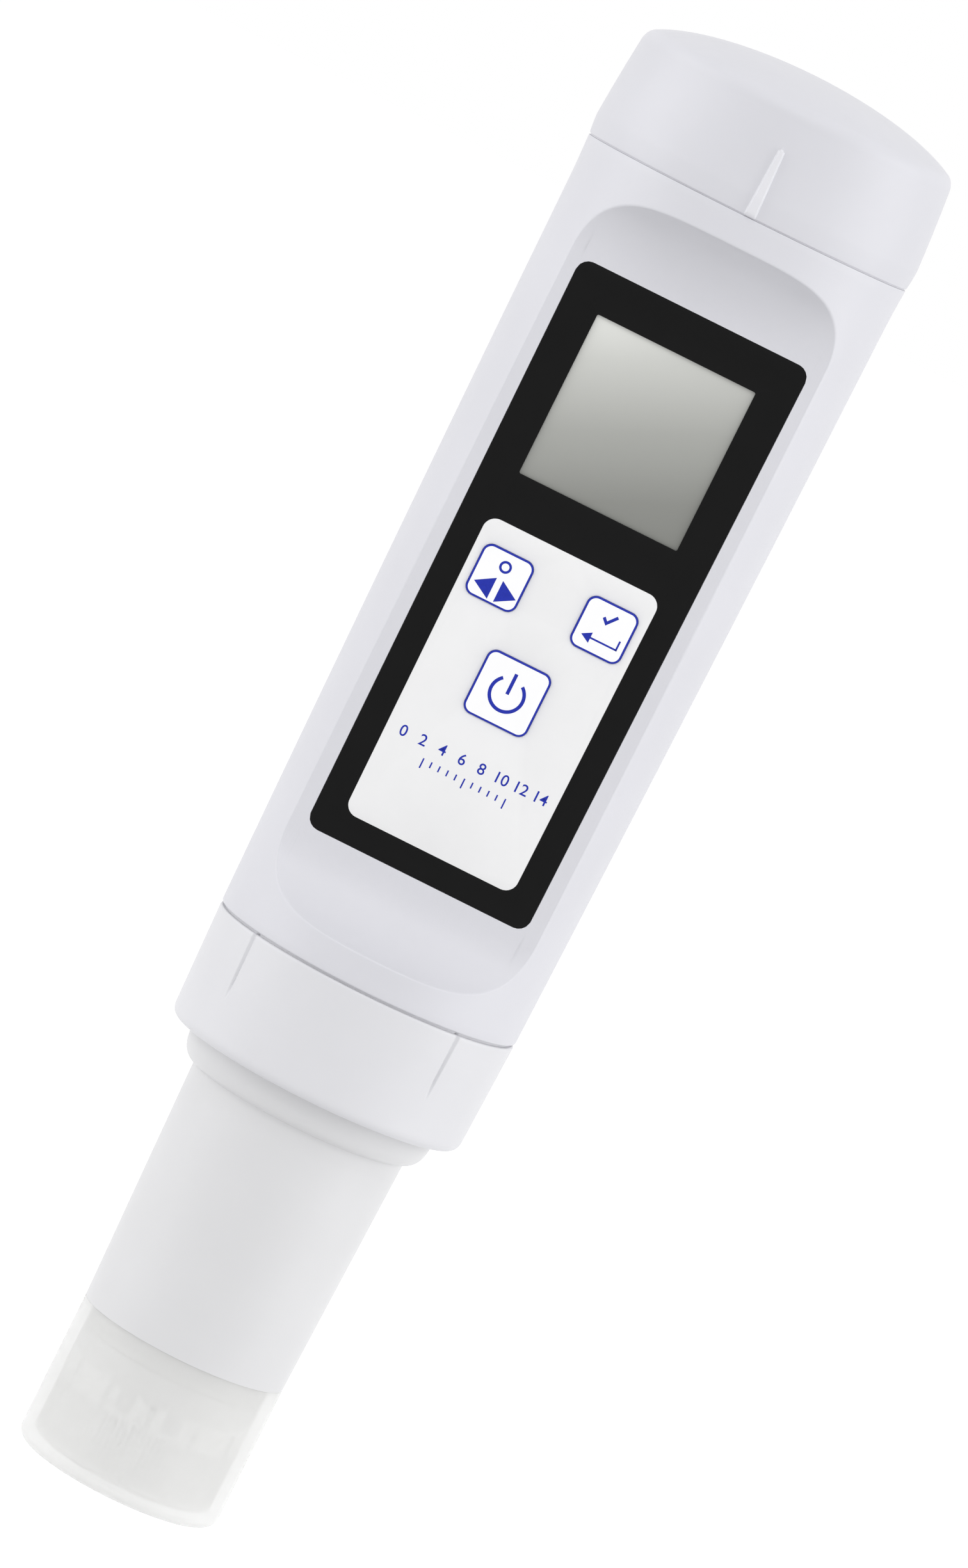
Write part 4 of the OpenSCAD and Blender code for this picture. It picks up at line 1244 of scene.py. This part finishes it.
def bar(x, z, width, height):
    return [(x - width / 2, z - height / 2), (x + width / 2, z - height / 2),
            (x + width / 2, z + height / 2), (x - width / 2, z + height / 2)]


def ringPart(x, z, radius, width, start, end, count=40):
    # Part of a ring, between two angles in degrees
    outer, inner = (arcPoints((x, z), radius + half, start, end, count) for half in (width / 2, -width / 2))
    return outer + inner[::-1]


def figure(text, x, z, height):
    # Outlines of a plain figure, drawn with the built-in font, made a mesh and laid on the face
    curve = bpy.data.curves.new("figure", "FONT")
    curve.body = text
    curve.align_x = "CENTER"
    curve.size = height / printSettings["figureShare"]
    curve.offset = 0.012
    curve.extrude = 0.009
    holder = bpy.data.objects.new("figure", curve)
    mesh = bpy.data.meshes.new_from_object(holder)
    turn = faceFrame @ Matrix.Translation((x, 0, z)) @ Matrix.Rotation(math.radians(90), 4, "X")
    bm = bmesh.new()
    bm.from_mesh(mesh)
    bmesh.ops.transform(bm, matrix=turn, verts=bm.verts)
    bpy.data.objects.remove(holder)
    bpy.data.meshes.remove(mesh)
    return bm


def printKeys():
    k, p = keySettings, printSettings
    top = -k["proud"]
    stroke = p["stroke"]
    # Left key: two filled triangles that point left and right, under a plain circle
    x, z = -k["pitch"] / 2, k["upperLift"]
    marks = [[(x - 2.47, z - 1.45), (x - 0.27, z - 2.72), (x - 0.27, z - 0.12)],
             [(x + 0.5, z - 2.72), (x + 2.71, z - 1.45), (x + 0.5, z - 0.12)],
             ringPart(x + 0.06, z + 1.35, 0.58, p["heavyStroke"] * 0.7, 0, 359.9)]
    printMarks("leftKeyMarks", marks, top, "left_key_body")
    # Right key: a return arrow under a plain tick mark
    x = k["pitch"] / 2
    marks = [[(x - 2.14, z - 1.46), (x - 1.0, z - 2.1), (x - 1.0, z - 0.82)],
             bar(x + 0.62, z - 1.46, 3.3, stroke), bar(x + 2.165, z - 0.96, stroke, 1.2),
             [(x - 0.75, z + 1.15), (x - 0.52, z + 1.42), (x - 0.14, z + 1.02), (x + 0.7, z + 2.02),
              (x + 0.96, z + 1.78), (x - 0.12, z + 0.5)]]
    printMarks("rightKeyMarks", marks, top, "right_key_body")
    # Lower key: a broken ring with an upright bar
    z, stroke = k["lowerLift"], p["heavyStroke"]
    marks = [ringPart(0, z - 0.15, 1.95, stroke, -232, 52), bar(0, z + 1.15, stroke, 2.5)]
    printMarks("lowerKeyMarks", marks, top, "lower_key_body")


def printSheet():
    p = printSettings
    bm = bmesh.new()
    pool = bpy.data.meshes.new("pool")
    for i, text in enumerate(p["figures"]):
        x = p["figureSpan"] * (i / (len(p["figures"]) - 1) - 0.5)
        part = figure(text, x, p["figureRow"], p["figureHeight"])
        part.to_mesh(pool)
        part.free()
        bm.from_mesh(pool)
    bpy.data.meshes.remove(pool)
    makePiece("sheetFigures", bm, ["inkBlue"], "shell")
    ticks = []
    for i in range(p["ticks"]):
        x = p["tickSpan"] * (i / (p["ticks"] - 1) - 0.5)
        height = p["tickHeight"] * (1 if i % 5 == 0 else 0.6)
        ticks.append(bar(x, p["tickRow"] + p["tickHeight"] - height / 2, p["stroke"] * 0.8, height))
    printMarks("sheetTicks", ticks, 0, "shell")


buildFilms()
for node, (x, z, size) in keyPlaces().items():
    buildKey(node, x, z, size)
printKeys()
printSheet()
print("films, keys and prints made")


# Contact springs

springSettings = {"turns": 5, "wide": 3.6, "narrow": 2.6, "wire": 0.3, "steps": 28}


def buildSprings():
    # Each spring is a wire that winds up from its plate to the cell
    s = springSettings
    foot = low("contact_springs").z + s["wire"]
    rise = high("contact_springs").z - low("contact_springs").z - 2 * s["wire"]
    bm = bmesh.new()
    for node in ("cell_1", "cell_2", "cell_3", "cell_4"):
        middle = (low(node) + high(node)) / 2
        made = bmesh.ops.create_circle(bm, segments=10, radius=s["wire"], cap_ends=True)["verts"]
        bmesh.ops.rotate(bm, verts=made, cent=(0, 0, 0), matrix=Matrix.Rotation(math.pi / 2, 3, "X"))
        bmesh.ops.translate(bm, verts=made, vec=(s["wide"], 0, foot))
        before = set(bm.verts) - set(made)
        ends = {f for v in made for f in v.link_faces}
        turnRound(bm, list(ends) + [e for f in ends for e in f.edges] + made, math.tau * s["turns"],
                  s["turns"] * s["steps"], rise=rise / s["turns"] / s["steps"])
        for v in set(bm.verts) - before:
            t = min(1, max(0, (v.co.z - foot) / rise))
            v.co = moveOut(v.co, (s["narrow"] - s["wide"]) * t) + Vector((middle.x, middle.y, 0))
    closeMesh(bm)
    makePiece("contactSprings", bm, ["springSteel"], "shell", ["contact_springs"])


buildSprings()


# Stage and light

stageSettings = {
    "aim": (0, 0, 0.09),
    "floorSize": 6.0,
    "floorDrop": 0.045,  # clear of the cup when it is pulled off
    "floorGlow": 0.42,  # lifts the lit floor to white where it is seen
    "world": 0.735,
    # place, size and power of each lamp
    "lamps": {
        "leftLamp": ((-0.9, -0.15, 0.25), (0.8, 0.9), 3.3),
        "rightLamp": ((0.9, -0.15, 0.25), (0.8, 0.9), 3.85),
        "topLamp": ((0, -0.2, 1.0), (0.9, 0.9), 1.0),
        "highLamp": ((0, -1.1, 1.1), (1.0, 0.6), 3.3),
    },
}


def connect(tree, *pairs):
    for source, target in pairs:
        tree.links.new(source, target)


def backgroundRays(tree):
    # One for the rays that see the background: from the camera, in gloss and through glass
    path = tree.nodes.new("ShaderNodeLightPath")
    seen = path.outputs["Is Camera Ray"]
    for kind in ("Is Glossy Ray", "Is Transmission Ray"):
        either = tree.nodes.new("ShaderNodeMath")
        either.operation = "MAXIMUM"
        connect(tree, (seen, either.inputs[0]), (path.outputs[kind], either.inputs[1]))
        seen = either.outputs["Value"]
    return seen


def makeStage():
    material, tree, shader = blank("floorWhite")
    setSockets(shader, {"Base Color": (0.8, 0.8, 0.8, 1), "Roughness": 0.9, "Specular IOR Level": 0})
    glow = tree.nodes.new("ShaderNodeEmission")
    total = tree.nodes.new("ShaderNodeAddShader")
    scaled = tree.nodes.new("ShaderNodeMath")
    scaled.operation = "MULTIPLY"
    scaled.inputs[1].default_value = stageSettings["floorGlow"]
    connect(tree, (backgroundRays(tree), scaled.inputs[0]),
            (scaled.outputs["Value"], glow.inputs["Strength"]),
            (shader.outputs["BSDF"], total.inputs[0]),
            (glow.outputs["Emission"], total.inputs[1]),
            (total.outputs["Shader"], tree.nodes["Material Output"].inputs["Surface"]))
    bm = bmesh.new()
    bmesh.ops.create_grid(bm, x_segments=1, y_segments=1, size=stageSettings["floorSize"])
    bmesh.ops.translate(bm, verts=bm.verts, vec=(0, 0, -stageSettings["floorDrop"]))
    mesh = bpy.data.meshes.new("floor")
    bm.to_mesh(mesh)
    bm.free()
    mesh.materials.append(material)
    floor = bpy.data.objects.new("floor", mesh)
    bpy.context.scene.collection.objects.link(floor)

    world = bpy.data.worlds.new("studio")
    world.use_nodes = True
    tree = world.node_tree
    lightBack = tree.nodes["Background"]
    setSockets(lightBack, {"Color": (0.99, 0.99, 1.0, 1), "Strength": stageSettings["world"]})
    seenBack = tree.nodes.new("ShaderNodeBackground")
    setSockets(seenBack, {"Color": (1, 1, 1, 1), "Strength": 1})
    mix = tree.nodes.new("ShaderNodeMixShader")
    connect(tree, (backgroundRays(tree), mix.inputs["Fac"]),
            (lightBack.outputs["Background"], mix.inputs[1]),
            (seenBack.outputs["Background"], mix.inputs[2]),
            (mix.outputs["Shader"], tree.nodes["World Output"].inputs["Surface"]))
    bpy.context.scene.world = world


def makeLamp(name, place, size, power):
    data = bpy.data.lights.new(name, "AREA")
    data.shape = "RECTANGLE"
    data.size, data.size_y = size
    data.energy = power
    lamp = bpy.data.objects.new(name, data)
    lamp.location = place
    way = Vector(stageSettings["aim"]) - Vector(place)
    lamp.rotation_euler = way.to_track_quat("-Z", "Y").to_euler()
    bpy.context.scene.collection.objects.link(lamp)


makeStage()
for name, lampSettings in stageSettings["lamps"].items():
    makeLamp(name, *lampSettings)
bpy.context.scene.view_settings.view_transform = "Standard"
print("stage and light set")
